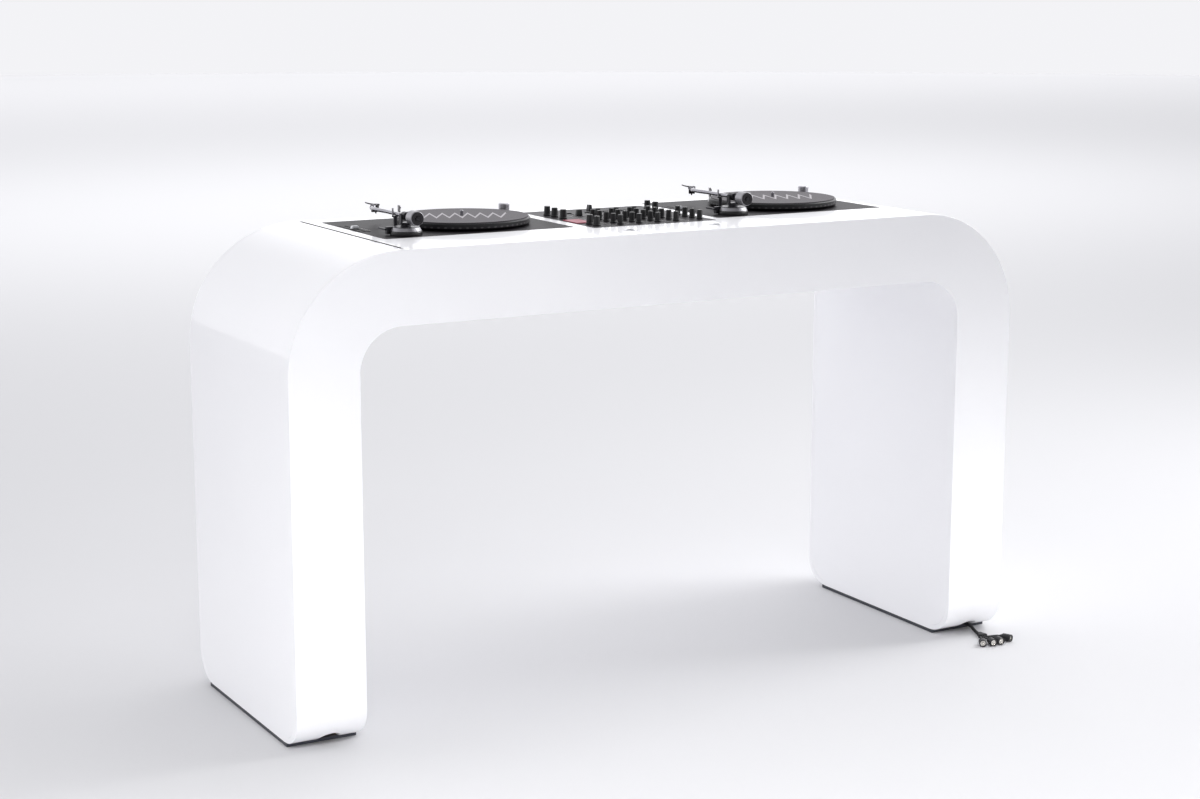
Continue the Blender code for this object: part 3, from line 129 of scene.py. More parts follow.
def blended(tree, factor, first, second):
    """A mix of two colours by a factor; each is an sRGB hex value or the output of another node.

    The colour sockets of a Mix node share their names with its number sockets, so they go by number.
    """
    colours = [linear(colour) if isinstance(colour, str) else colour for colour in (first, second)]
    inputs = {"Factor": factor, 6: colours[0], 7: colours[1]}
    return add(tree, "ShaderNodeMix", inputs, data_type="RGBA").outputs[2]


def tinted(material, colour):
    """Links a colour to the base of a material."""
    material.node_tree.links.new(colour, shader_of(material).inputs["Base Color"])


def raised(material, height, depth, sockets=("Normal",)):
    """A bump: where height goes from 0 to 1, the surface seems to rise by depth, in metres."""
    bump = add(material.node_tree, "ShaderNodeBump", {"Height": height, "Distance": depth})
    for socket in sockets:
        material.node_tree.links.new(bump.outputs["Normal"], shader_of(material).inputs[socket])


def own_place(tree, centre=None):
    """A piece's own coordinates; where a centre is given, a Mapping node moves it to zero."""
    place = add(tree, "ShaderNodeTexCoord").outputs["Object"]
    if centre is None:
        return place
    back = [-value for value in centre]
    return add(tree, "ShaderNodeMapping", {"Vector": place, "Location": back}).outputs["Vector"]


# %% [markdown]
# ## Surfaces from arrays
#
# Most pieces here are one of three kinds: a profile spun about an axis, a rounded rectangle that changes its
# size on its way up, and a round section carried along a path. All of them are rows of points, ring after
# ring, so one function joins any rings with four-sided faces. Corners of a profile are rounded first, because
# nothing that is pressed, cast or painted has a perfectly sharp edge, and it is the round that catches light.


# %% Surfaces from arrays
def loft(rings, closed=False, caps=True):
    """Four-sided faces between neighbouring rings: rings[i, j] is point j of ring i.

    closed joins the last ring to the first, as for a washer; caps fills the first and the last ring.
    """
    rings = np.asarray(rings, float)
    count, size = rings.shape[:2]
    i, j = np.meshgrid(np.arange(count if closed else count - 1), np.arange(size), indexing="ij")
    here, there, beside = i * size, (i + 1) % count * size, (j + 1) % size
    faces = np.stack([here + j, here + beside, there + beside, there + j], axis=-1).reshape(-1, 4).tolist()
    if caps and not closed:
        faces += [list(range(size)), list(range((count - 1) * size, count * size))]
    return rings.reshape(-1, 3), faces


def rounded(points, radius, steps=4, closed=False):
    """Corners of a polyline replaced by curves (1-t)^2 A + 2t(1-t) P + t^2 B, from A before P to B after it.

    Another point half a radius further on keeps the shading of the flat beside each curve.
    """
    points = np.asarray(points, float)
    t = np.linspace(0, 1, steps + 1)[:, None]
    rows = [] if closed else [points[:1]]
    order = range(len(points)) if closed else range(1, len(points) - 1)
    for k in order:
        before, corner, after = points[k - 1], points[k], points[(k + 1) % len(points)]
        back, on = before - corner, after - corner
        long_back, long_on = np.linalg.norm(back), np.linalg.norm(on)
        reach = min(radius, 0.4 * long_back, 0.4 * long_on)
        a, b = corner + back / long_back * reach, corner + on / long_on * reach
        curve = (1 - t) ** 2 * a + 2 * t * (1 - t) * corner + t**2 * b
        before_arc = corner + back / long_back * min(1.5 * reach, 0.45 * long_back)
        after_arc = corner + on / long_on * min(1.5 * reach, 0.45 * long_on)
        rows += [before_arc[None], curve, after_arc[None]]
    rows += [] if closed else [points[-1:]]
    return np.concatenate(rows)


def turned(profile, segments=96, closed=False):
    """A profile of (radius, height) spun about Z: x = r cos a and y = r sin a."""
    r, z = np.asarray(profile, float).T[..., None]
    a = np.linspace(0, 2 * np.pi, segments, endpoint=False)
    return loft(np.stack([r * np.cos(a), r * np.sin(a), z + 0 * a], axis=-1), closed, caps=False)


def rectangle(width, length, corner, steps=6):
    """Points round a rectangle with round corners: each quarter circle stands about its corner's centre."""
    a = np.concatenate([np.linspace(0, np.pi / 2, steps + 1) + k * np.pi / 2 for k in range(4)])
    sx, sy = np.repeat([1, -1, -1, 1], steps + 1), np.repeat([1, 1, -1, -1], steps + 1)
    x = sx * (width / 2 - corner) + corner * np.cos(a)
    y = sy * (length / 2 - corner) + corner * np.sin(a)
    return np.stack([x, y], axis=-1)


def level(outline, z):
    """The points of a flat outline, all at one height."""
    return np.column_stack([outline, np.full(len(outline), z)])


def upright(outline, y):
    """The points of an outline of (x, z), all at one depth."""
    return np.insert(np.asarray(outline, float), 1, y, axis=1)


def circle(radius, count):
    """Points (r cos a, r sin a) round the origin."""
    a = np.linspace(0, 2 * np.pi, count, endpoint=False)
    return radius * np.stack([np.cos(a), np.sin(a)], axis=-1)


def shrunk(outline, share):
    """An outline drawn towards its middle: m + s (p - m)."""
    middle = outline.mean(axis=0)
    return middle + (outline - middle) * share


def slab(width, length, corner, section, steps=6):
    """Rings of one rounded rectangle; each row of the section is (how far it is drawn in, height)."""
    rings = []
    for inset, z in section:
        outline = rectangle(width - 2 * inset, length - 2 * inset, max(corner - inset, 1e-4), steps)
        rings.append(level(outline, z))
    return loft(rings)


def block(size, edge=0.0008, corner=None):
    """A box with all its edges rounded, its foot at height zero."""
    width, length, height = size
    inner = min(width, length) / 3
    section = rounded([(inner, 0), (0, 0), (0, height), (inner, height)], edge, 3)
    return slab(width, length, corner or edge, section, 3)


def tube(path, radii, sides=24):
    """Ring i is path[i] + radii[i] (cos a u + sin a v), with u and v square to the path's own direction."""
    path = np.asarray(path, float)
    way = np.gradient(path, axis=0)
    way /= np.linalg.norm(way, axis=1, keepdims=True)
    u = np.cross(way, (0.0, 0.0, 1.0))
    u /= np.linalg.norm(u, axis=1, keepdims=True)
    v = np.cross(u, way)
    a = np.linspace(0, 2 * np.pi, sides, endpoint=False)[:, None]
    circle = np.cos(a) * u[:, None] + np.sin(a) * v[:, None]
    return loft(path[:, None] + np.broadcast_to(radii, len(path))[:, None, None] * circle)


def by_face(part, look_of):
    """(part, material) pairs: each face takes the material that a rule names for its corner points."""
    points, faces = part
    looks = [look_of(points[face]) for face in faces]
    return [((points, [face for face, own in zip(faces, looks) if own == look]), look)
            for look in dict.fromkeys(looks)]


def moved(part, place=(0, 0, 0), turn=0.0, axis="Z"):
    """p' = R p + place, with the turn in degrees about an axis through the part's own origin."""
    points, faces = part
    return points @ np.array(Matrix.Rotation(math.radians(turn), 3, axis)).T + np.array(place, float), faces


def together(*parts):
    """Several parts as one, their faces renumbered."""
    starts = np.cumsum([0] + [len(points) for points, _ in parts[:-1]])
    faces = [[int(start) + k for k in face] for start, (_, some) in zip(starts, parts) for face in some]
    return np.concatenate([points for points, _ in parts]), faces


def shaded(thing, sharp=38.0):
    """Smooth shading that stops at sharp edges, and that follows the larger of the faces at each point.

    So a wide flat stays flat up to the small round at its edge, as a polished panel does.
    """
    thing.data.shade_smooth()
    thing.data.set_sharp_from_angle(angle=math.radians(sharp))
    thing.modifiers.new("even_shading", "WEIGHTED_NORMAL").keep_sharp = True


def piece(name, body, parts, stands_for=()):
    """One object from (part, material) pairs, riding on a body. Points that meet are welded."""
    points, faces = together(*[part for part, _ in parts])
    mesh = bpy.data.meshes.new(name)
    mesh.from_pydata(points.tolist(), [], faces)
    looks = list(dict.fromkeys(look for _, look in parts))
    for look in looks:
        mesh.materials.append(look)
    index = np.concatenate([np.full(len(part[1]), looks.index(look)) for part, look in parts])
    mesh.polygons.foreach_set("material_index", index.astype(np.int32))
    work = bmesh.new()
    work.from_mesh(mesh)
    bmesh.ops.remove_doubles(work, verts=work.verts, dist=2e-6)
    bmesh.ops.recalc_face_normals(work, faces=work.faces)
    work.to_mesh(mesh)
    work.free()
    thing = bpy.data.objects.new(name, mesh)
    bpy.context.scene.collection.objects.link(thing)
    shaded(thing)
    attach(thing, body)
    if stands_for:
        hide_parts(*stands_for)
    return thing


# %% [markdown]
# ## Rubber, and the cable loom
#
# Cords come first, because they lie outside the booth and the camera's view has to hold them. The loom is a
# short 8 mm cable that leaves a rubber bush in the right foot's notch, drops to the floor and splits into
# four 5 mm tails, each with a round plug. A curve with a round bevel is the natural model of a cable: its own
# line is the cable's centre. The route is a few chosen points with a smooth curve through them.
# EPDM rubber is matt and nearly black, with a faint grain of about 0.4 mm from its mould. Nickel plate is
# bright and even, with marks of 0.3 mm that show only in its highlights.


# %% Rubber and nickel
def grain(material, size_mm, depth, spread=0.0):
    """A fine random relief: noise whose grains are size_mm wide, read in the piece's own coordinates.

    spread makes the roughness vary by as much, up and down, over patches twenty grains wide.
    """
    tree, roughness = material.node_tree, shader_of(material).inputs["Roughness"]
    place = own_place(tree)
    fine = add(tree, "ShaderNodeTexNoise", {"Vector": place, "Scale": 1000 / size_mm, "Detail": 3.0})
    raised(material, fine.outputs["Fac"], depth)
    if spread:
        base = roughness.default_value
        patch = add(tree, "ShaderNodeTexNoise", {"Vector": place, "Scale": 50 / size_mm, "Detail": 4.0})
        limits = {"Value": patch.outputs["Fac"], "To Min": base - spread, "To Max": base + spread}
        tree.links.new(add(tree, "ShaderNodeMapRange", limits).outputs["Result"], roughness)
    return material


rubber = grain(finish("moulded_rubber", "#1b1b1e", 0.55, IOR=1.52), 0.4, 0.00004, 0.08)
nickel = grain(finish("nickel_plate", "#cfccc6", 0.25, Metallic=1.0), 0.3, 0.00001, 0.05)

# %% Cable loom: cords
FIT = 0.0003  # the gap between pieces that lie on each other
FOOT_Z = 0.0083  # the panels' feet, on top of the plinths
GLAND = np.array((0.848, -0.234, 0.0))
TRUNK_RADIUS, TAIL_RADIUS, TAIL_LEAD = 0.004, 0.0025, 0.005
TRUNK = ((0, -0.0223, 0.0138), (0, -0.026, 0.0138), (-0.0004, -0.036, 0.0122), (-0.0016, -0.046, 0.0082),
         (-0.0032, -0.056, 0.0055), (-0.005, -0.066, 0.0048), (-0.0062, -0.072, 0.0048))
SPLITTER, SPLITTER_WAY = (-0.0063, -0.0723), -101.0
SPLITTER_LENGTH, SPLITTER_SPREAD = 0.022, 0.0062
TAILS = (
    ((-0.0395, -0.126), -124.0),
    ((-0.023, -0.13), -105.0),
    ((-0.003, -0.129), -98.0),
    ((0.017, -0.122), -66.0),
)
CABLE_Z, PLUG_Z = 0.0048, 0.0089


def smooth_route(points, spacing):
    """Straight first and last runs, and between the points a, b, c, d the curve of Catmull and Rom:
    half of 2b + (c - a) t + (2a - 5b + 4c - d) t^2 + (3b - a - 3c + d) t^3."""
    route = np.array(points, float)
    t = np.linspace(0, 1, 17)[1:, None]
    fine = [route[1:2]]
    for a, b, c, d in zip(route, route[1:], route[2:], route[3:]):
        square, cube = 2 * a - 5 * b + 4 * c - d, 3 * b - a - 3 * c + d
        fine.append(0.5 * (2 * b + (c - a) * t + square * t**2 + cube * t**3))
    fine = np.concatenate(fine)
    along = np.concatenate([[0], np.cumsum(np.linalg.norm(np.diff(fine, axis=0), axis=1))])
    places = np.linspace(0, along[-1], max(3, round(along[-1] / spacing) + 1))
    middle = np.stack([np.interp(places, along, fine[:, k]) for k in range(3)], axis=-1)
    return np.concatenate([route[:1], middle, route[-1:]])


def cable(name, points, radius):
    """A curve with a round bevel along a route, standing for the node of its name."""
    route = smooth_route(points, radius)
    curve = bpy.data.curves.new(name + "_cable", "CURVE")
    curve.dimensions = "3D"
    curve.bevel_depth = radius
    curve.bevel_resolution = 6
    curve.use_fill_caps = True
    spline = curve.splines.new("POLY")
    spline.points.add(len(route) - 1)
    spline.points.foreach_set("co", np.column_stack([route, np.ones(len(route))]).ravel())
    curve.materials.append(rubber)
    cord = bpy.data.objects.new(name + "_cable", curve)
    bpy.context.scene.collection.objects.link(cord)
    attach(cord, "booth")
    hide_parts(name)
    return cord, float(np.linalg.norm(np.diff(route, axis=0), axis=1).sum())


def splitter_point(forward, across, height):
    """A point in the splitter's own axes, forward along its heading, from the loom's foot."""
    a = math.radians(SPLITTER_WAY)
    x = SPLITTER[0] + forward * math.cos(a) - across * math.sin(a)
    return GLAND + np.array((x, SPLITTER[1] + forward * math.sin(a) + across * math.cos(a), height))


# %% [markdown]
# The bush, the splitter and the plugs are moulded on: the bush has ribs that let the cable bend, and each plug
# has a tapered boot, a ribbed barrel and a bright contact face a little inside its rim.

# %% Cable loom: pieces
def ribbed(start, end, depth, ribs):
    """A profile from one (radius, height) to another with waves cut in it: r = line - depth * sin^2."""
    t = np.linspace(0, 1, 12 * ribs + 1)
    radius = start[0] + (end[0] - start[0]) * t - depth * np.sin(np.pi * ribs * t) ** 2
    return np.column_stack([radius, start[1] + (end[1] - start[1]) * t])


half_turn = np.linspace(0, np.pi, 24)
bush_arch = 0.0085 * np.column_stack([np.cos(half_turn), np.sin(half_turn)]) + (0, 0.0025)
bush_arch = np.concatenate([[(-0.0085, 0.0), (0.0085, 0.0)], bush_arch])
bush_rings = [upright(bush_arch * s, y) for y, s in ((0.014, 0.96), (0.0134, 1.0), (0.0008, 1.0), (0.0, 0.96))]
nose = np.concatenate([
    [(0, 0), (0.0054, 0)],
    ribbed((0.0054, 0.001), (0.005, 0.021), 0.0007, 5),
    [(0.0046, 0.0222), (0, 0.0222)],
])
seat = GLAND + (0, 0, FOOT_Z)
bush = [
    (moved(loft(bush_rings), seat), rubber),
    (moved(turned(nose, 32), seat + (0, 0, 0.0055), 90, "X"), rubber),
]
piece("loom_bush", "booth", bush, ["loom_gland"])

rear, front = TRUNK_RADIUS + 0.0015, SPLITTER_SPREAD * 2
split_outline = rounded([(0, -rear), (0.0073, -rear), (SPLITTER_LENGTH, -front), (SPLITTER_LENGTH, front),
                         (0.0073, rear), (0, rear)], 0.003, 4, True)
split_steps = ((0.90, FIT), (0.985, 0.0009), (1.0, 0.0022), (1.0, 0.0077), (0.985, 0.009), (0.90, 0.0099))
divider = loft([level(shrunk(split_outline, share), z) for share, z in split_steps])
divider = moved(divider, GLAND + (*SPLITTER, 0), SPLITTER_WAY)
splitter = piece("loom_divider", "booth", [(divider, rubber)], ["loom_splitter"])
trunk, trunk_length = cable("loom_trunk", [GLAND + p for p in TRUNK], TRUNK_RADIUS)
print(f"trunk: {trunk_length:.3f} m")

barrel = np.concatenate([
    [(0, 0), (0.0035, 0)],
    ribbed((0.0036, 0.0008), (0.0082, 0.009), 0.0005, 4),
    rounded([(0.0086, 0.0095), (0.0086, 0.031), (0.0066, 0.031), (0.0066, 0.028)], 0.0006),
])
contact = rounded([(0, 0.0292), (0.0022, 0.0292), (0.0022, 0.0282), (0.0052, 0.0282), (0.0052, 0.0288),
                   (0.0066, 0.0288), (0.0066, 0.027), (0, 0.027)], 0.0003, 2)
for number, (end, way) in enumerate(TAILS, 1):
    across = (number - 2.5) * SPLITTER_SPREAD
    out = np.array((math.cos(math.radians(way)), math.sin(math.radians(way)), 0))
    stop = GLAND + (*end, PLUG_Z)
    start = [splitter_point(SPLITTER_LENGTH + forward, across, CABLE_Z) for forward in (FIT, TAIL_LEAD)]
    tail, tail_length = cable(f"loom_tail_{number}", [*start, stop - TAIL_LEAD * out, stop], TAIL_RADIUS)
    lie = [(moved(moved(turned(profile, 48), turn=90, axis="Y"), stop + FIT * out, way), look)
           for profile, look in ((barrel, rubber), (contact, nickel))]
    plug = piece(f"loom_end_{number}", "booth", lie, [f"loom_plug_{number}"])
    print(f"tail {number}: {tail_length:.3f} m")

# %% [markdown]
# ## White lacquer
#
# The booth's panels are bent board, sprayed with white polyester lacquer and polished. Under a lamp that gives
# a sharp, faintly rippled reflection over a milky white: the ripple, called orange peel, is about 4 mm wide.
# A coat with its own low roughness lies on a rougher white base, and both take the ripple as a bump.


# %% White lacquer
def lacquered(material, ripple_mm, depth):
    """Orange peel on base and coat, and a very faint drift of the white over half a metre."""
    tree = material.node_tree
    place = own_place(tree)
    ripple = add(tree, "ShaderNodeTexNoise", {"Vector": place, "Scale": 1000 / ripple_mm, "Detail": 1.0})
    raised(material, ripple.outputs["Fac"], depth, ("Normal", "Coat Normal"))
    drift = add(tree, "ShaderNodeTexNoise", {"Vector": place, "Scale": 2.0, "Detail": 2.0})
    tinted(material, blended(tree, drift.outputs["Fac"], "#f3f3f6", "#f8f8fa"))
    return material


polish = {"Coat_Weight": 0.45, "Coat_Roughness": 0.07, "Specular_IOR_Level": 0.3}
white_lacquer = lacquered(finish("white_polyester_lacquer", "#f6f6f8", 0.45, **polish), 4, 0.00003)
print("nodes in the lacquer:", len(white_lacquer.node_tree.nodes))

# %% [markdown]
# ## The arch: front and rear fascias
#
# Each fascia is one sheet, 12 mm thick and 156 mm wide, that follows the arch: it starts under the foot, rolls
# forward round a 70 mm radius, goes up the leg, round the corner and across the bridge, and down again. So a
# section of (across, depth) is carried along that line. On the bridge the front one has a lip that goes back
# into the worktop, which is simply a longer section between two stations.

# %% Arch: measures
SIDES = ("left", "right")
foot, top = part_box("front_fascia")
HALF_WIDTH, HEIGHT, HALF_DEPTH = float(top[0]), float(top[2]), -float(foot[1])
LEG, CORNER, SKIN, FASCIA, ROLL = 0.156, 0.250, 0.009, 0.012, 0.070
HALF_FLAT, SPRING, INNER = HALF_WIDTH - CORNER, HEIGHT - CORNER, CORNER - LEG
LEG_MIDDLE = HALF_WIDTH - LEG / 2
LIP, LIP_END = 0.032, HALF_FLAT - 0.013
CORNER_STEPS, ROLL_STEPS = 48, 24
EDGE = 0.0012  # the round along a fascia's edges
SUPPORT = 0.004  # a ring this far from a bend keeps the shading of the flat beyond it
NOTCH_HALF, NOTCH_HEIGHT, NOTCH_SHIFT = 0.028, 0.021, 0.007
print(f"arch: {2 * HALF_WIDTH:.3f} x {2 * HALF_DEPTH:.3f} x {HEIGHT:.3f} m, flat top {2 * HALF_FLAT:.3f} m")


# %% Arch: fascias
def fascia_section(lip):
    """Points (across, depth) round the sheet: its face first, then its back with the lip at the outer edge."""
    half = LEG / 2
    face = rounded([(-half, FASCIA / 2), (-half, 0), (half, 0), (half, FASCIA / 2)], EDGE)
    back = [(half, lip), (half - SKIN, lip), (half - SKIN, FASCIA), (-half, FASCIA)]
    return np.concatenate([face, back])


def fascia_rings(with_lip):
    """Rings from the left foot to the right: each is place + across * outward + depth * inward."""
    roll = np.linspace(0, np.pi / 2, ROLL_STEPS + 1)
    turn = np.linspace(np.pi, np.pi / 2, CORNER_STEPS + 1)
    zero = 0 * roll
    middle = CORNER - LEG / 2
    foot_y, foot_z = ROLL - HALF_DEPTH - ROLL * np.sin(roll), FOOT_Z + ROLL - ROLL * np.cos(roll)
    foot_places = np.stack([zero - LEG_MIDDLE, foot_y, foot_z], -1)
    foot_inward = np.stack([zero, np.sin(roll), np.cos(roll)], -1)
    leg = [(-LEG_MIDDLE, -HALF_DEPTH, z) for z in (FOOT_Z + ROLL + SUPPORT, SPRING - SUPPORT)]
    radial = np.stack([np.cos(turn), 0 * turn, np.sin(turn)], -1)
    corner = np.array((-HALF_FLAT, -HALF_DEPTH, SPRING)) + middle * radial
    bridge = [(x, -HALF_DEPTH, SPRING + middle) for x in (SUPPORT - HALF_FLAT, -LIP_END, -LIP_END)]
    places = np.concatenate([foot_places, leg, corner, bridge])
    outward = np.concatenate([np.tile((-1.0, 0, 0), (len(roll) + 2, 1)), radial, np.tile((0.0, 0, 1), (3, 1))])
    inward = np.concatenate([foot_inward, np.tile((0.0, 1, 0), (len(places) - len(roll), 1))])
    depth = np.full(len(places), FASCIA)
    depth[-1] = LIP if with_lip else FASCIA
    section = np.stack([fascia_section(lip) for lip in depth])
    left = places[:, None] + section[..., :1] * outward[:, None] + section[..., 1:] * inward[:, None]
    return np.concatenate([left, left[::-1] * (-1, 1, 1)])


def notched(thing, part):
    """Cuts a closed part out of an object with an exact Boolean, and keeps the result as its mesh."""
    cutter = piece("cutter", "booth", [(part, white_lacquer)])
    thing.modifiers.clear()
    step = thing.modifiers.new("notch", "BOOLEAN")
    step.operation, step.solver, step.object = "DIFFERENCE", "EXACT", cutter
    graph = bpy.context.evaluated_depsgraph_get()
    cut_mesh = bpy.data.meshes.new_from_object(thing.evaluated_get(graph))
    thing.modifiers.clear()
    thing.data = cut_mesh
    bpy.data.objects.remove(cutter)
    shaded(thing)


front_sheet, rear_sheet = loft(fascia_rings(True)), moved(loft(fascia_rings(False)), turn=180)
front_panel = piece("fascia_front", "booth", [(front_sheet, white_lacquer)], ["front_fascia"])
half_turn = np.linspace(0, np.pi, 33)
notch = np.stack([NOTCH_HALF * np.cos(half_turn), NOTCH_HEIGHT * np.sin(half_turn)], -1)
notch = np.concatenate([[(NOTCH_HALF, -0.02)], notch, [(-NOTCH_HALF, -0.02)]])
for side in (-1, 1):
    outline = notch + (side * LEG_MIDDLE + NOTCH_SHIFT, FOOT_Z)
    notched(front_panel, loft([upright(outline, y) for y in (-0.31, -0.17)]))
piece("fascia_rear", "booth", [(rear_sheet, white_lacquer)], ["rear_fascia"])
print("fascia faces:", len(front_panel.data.polygons))


# %% [markdown]
# ## The arch: bent skins
#
# Between the fascias lie three skins of 9 mm: the left shell, the worktop with the right corner and leg, and
# the liner inside the arch. Each is a flat sheet bent round the corners, so a thin rectangle is carried along
# the same line as before, at its own radius. Low down it narrows, to lie behind the fascias' rolls. The left
# shell ends 7 mm before the worktop, and both edges of that open seam are painted black as painted shade.


# %% Arch: skins
def half_arch(radius, flat_end):
    """Rings of a skin from the left foot to a place on the flat: radius is from the corner to its middle."""
    roll = np.linspace(0, np.pi / 2, ROLL_STEPS + 1)
    behind = ROLL - FASCIA - FIT
    low_z = FOOT_Z + ROLL - behind * np.cos(roll)
    low_half = HALF_DEPTH - ROLL - FIT + behind * np.sin(roll)
    turn = np.linspace(np.pi, np.pi / 2, CORNER_STEPS + 1)
    heights = np.concatenate([[FOOT_Z], low_z, [FOOT_Z + ROLL + SUPPORT, SPRING - SUPPORT]])
    halves = np.concatenate([low_half[:1], low_half, np.full(len(turn) + 4, HALF_DEPTH - FASCIA - FIT)])
    legs = np.stack([np.full(len(heights), -HALF_FLAT - radius), heights], -1)
    radial = np.stack([np.cos(turn), np.sin(turn)], -1)
    corner = np.array((-HALF_FLAT, SPRING)) + radius * radial
    near = SUPPORT if flat_end + HALF_FLAT > SUPPORT else SUPPORT / 4
    flat = [(x, SPRING + radius) for x in (near - HALF_FLAT, flat_end)]
    places = np.concatenate([legs, corner, flat])
    outward = np.concatenate([np.tile((-1.0, 0), (len(legs), 1)), radial, np.tile((0.0, 1), (2, 1))])
    section = np.stack([rectangle(2 * h, SKIN, 0.0008, 3) for h in halves])
    x = places[:, :1] + section[..., 1] * outward[:, :1]
    z = places[:, 1:] + section[..., 1] * outward[:, 1:]
    return np.stack([x, section[..., 0], z], axis=-1)


def with_seam_shade(part, seam_end):
    """A skin in white lacquer, with its edge at the seam painted black below the top face, as painted shade."""

    def look_of(corners):
        x, _, z = corners.mean(axis=0)
        return seam_shade_black if abs(x - seam_end) < 0.001 and z < HEIGHT - 0.0001 else white_lacquer

    return by_face(part, look_of)


OUTER_MIDDLE, INNER_MIDDLE = CORNER - SKIN / 2, INNER + SKIN / 2
SEAM = 0.007
LEFT_END = -HALF_FLAT + 0.009
FLAT_START, FLAT_END = LEFT_END + SEAM, HALF_FLAT - 0.002
# Painted shade on the seam's edges: dull and nearly black, with marks of 0.5 mm, so that the gap reads as one
# shadow line.
seam_shade_black = grain(finish("painted_seam_shade", "#0d0d0f", 0.7, Specular_IOR_Level=0.2), 0.5, 0.00002)
left_side = with_seam_shade(loft(half_arch(OUTER_MIDDLE, LEFT_END)), LEFT_END)
piece("shell_left", "booth", left_side, ["left_shell"])
liner = half_arch(INNER_MIDDLE, -SUPPORT)
liner = np.concatenate([liner, liner[::-1] * (-1, 1, 1)])
piece("shell_inside", "booth", [(loft(liner), white_lacquer)], ["inner_liner"])
print(f"seam: {1000 * (FLAT_START - LEFT_END):.0f} mm")


# %% [markdown]
# ## The worktop and its cut-outs
#
# The worktop is routed from a flat sheet: an outline and five holes. To give every edge its small round, each
# loop is drawn in by a few steps of the edge's section, and the flat between the innermost loops is filled
# with triangles that keep to those loops, which is called a constrained Delaunay triangulation.


# %% Worktop
def drawn_in(loop, distance):
    """Each corner moves by distance (m + n) / (1 + m.n), with m and n the left normals of its two edges."""
    loop = np.asarray(loop, float)
    way = np.roll(loop, -1, axis=0) - loop
    n = np.stack([-way[:, 1], way[:, 0]], -1) / np.linalg.norm(way, axis=1)[:, None]
    m = np.roll(n, 1, axis=0)
    return loop + distance * (m + n) / (1 + (m * n).sum(axis=1))[:, None]


def filled(loops, height):
    """Triangles between an outer loop and the holes in it, at one height."""
    starts = np.cumsum([0] + [len(loop) for loop in loops[:-1]]).tolist()
    rims = [list(range(start, start + len(loop))) for start, loop in zip(starts, loops)]
    points = [Vector(point) for loop in loops for point in loop]
    inside_with_holes = 2
    corners, _, triangles, *_ = delaunay_2d_cdt(points, [], rims, inside_with_holes, 1e-7)
    return np.array([(*corner, height) for corner in corners]), [list(triangle) for triangle in triangles]


def routed(loops, top, thickness, edge, open_end=None):
    """A flat sheet from an outline (to the left) and holes (to the right); points at open_end keep their x."""
    section = rounded([(2 * edge, 0), (0, 0), (0, -thickness)], edge, 3)
    parts, rims = [], []
    for loop in loops:
        rings = []
        for inset, depth in section:
            ring = drawn_in(loop, inset)
            if open_end is not None:
                ring[:, 0] = np.where(np.isclose(loop[:, 0], open_end), open_end, ring[:, 0])
            rings.append(level(ring, top + depth))
        parts.append(loft(rings, caps=False))
        rims.append(rings[0][:, :2])
    parts += [filled(rims, top), filled(loops, top - thickness)]
    return together(*parts)


def box_middle(node):
    """A node's middle in plan, and its width and length."""
    low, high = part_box(node)
    return np.array([(low[k] + high[k]) / 2 for k in (0, 1)]), np.array([high[k] - low[k] for k in (0, 1)])


CUT_GAP, CUT_CORNER = 0.001, 0.008
WELD_GAP = 0.000005  # keeps the sheet and the bent corner beside it from being welded
half = HALF_DEPTH - FASCIA - FIT
lip_edge, lip_stop = LIP - HALF_DEPTH + FIT, LIP_END + FIT
outline = np.array([(FLAT_START, lip_edge), (lip_stop, lip_edge), (lip_stop, -half),
                    (FLAT_END, -half), (FLAT_END, half), (FLAT_START, half)])
holes = []
for node in ("left_deck_case", "right_deck_case", "mixer_case"):
    middle, size = box_middle(node)
    holes.append((middle + rectangle(*(size + 2 * CUT_GAP), CUT_CORNER))[::-1])
inlay_places = [box_middle(f"{side}_worktop_inlay")[0] for side in SIDES]
holes += [(place + circle(0.0123, 32))[::-1] for place in inlay_places]
sheet = routed([outline, *holes], HEIGHT, SKIN, 0.0008, FLAT_END)
right_side = half_arch(OUTER_MIDDLE, -FLAT_END - WELD_GAP) * (-1, 1, 1)
top_parts = [*with_seam_shade(sheet, FLAT_START), (loft(right_side), white_lacquer)]
piece("shell_worktop", "booth", top_parts, ["worktop_shell"])
print("holes in the worktop:", len(holes))

# %% [markdown]
# ## Plinths, inlays and the frame inside
#
# Each leg stands on an 8 mm board with a black laminate face: satin, with a leathery grain of 1.2 mm. The two
# round inlays before the mixer are turned from aluminium: a lathe leaves rings 0.8 mm apart, which show as a
# streak that turns with the light. The hidden frame is birch plywood, with pale fibres about 2 mm wide and
# 30 mm long; under the open seam it is painted black as painted shade, so that nothing pale shows through.


# %% Plinths, inlays and frame
RINGS_PER_UNIT = 3.18  # what a Wave node draws at a scale of one


def streaked(material, centre, spacing_mm, depth):
    """Lathe rings: waves by the distance from an axis at centre."""
    tree = material.node_tree
    ring = {"Vector": own_place(tree, (*centre, 0.0)), "Scale": 1000 / spacing_mm / RINGS_PER_UNIT}
    waves = add(tree, "ShaderNodeTexWave", ring | {"Distortion": 0.3, "Detail": 2.0}, wave_type="RINGS",
                rings_direction="Z")
    raised(material, waves.outputs["Fac"], depth)
    return material


def plywood(material, seam_shade_at):
    """Birch with its fibres along X, and painted shade: black within 30 mm of the seam above it."""
    tree = material.node_tree
    place = own_place(tree)
    drawn = add(tree, "ShaderNodeMapping", {"Vector": place, "Scale": (4.0, 60.0, 60.0)}).outputs["Vector"]
    fibres = add(tree, "ShaderNodeTexNoise", {"Vector": drawn, "Scale": 8.0, "Detail": 6.0}).outputs["Fac"]
    across = add(tree, "ShaderNodeSeparateXYZ", {"Vector": place}).outputs["X"]
    # Painted shade: black under the seam, where the gap would lie in shadow.
    seam_shade_mask = maths(tree, "COMPARE", across, seam_shade_at, 0.03)
    tinted(material, blended(tree, seam_shade_mask, blended(tree, fibres, "#b99768", "#dcc096"), "#151517"))
    return material


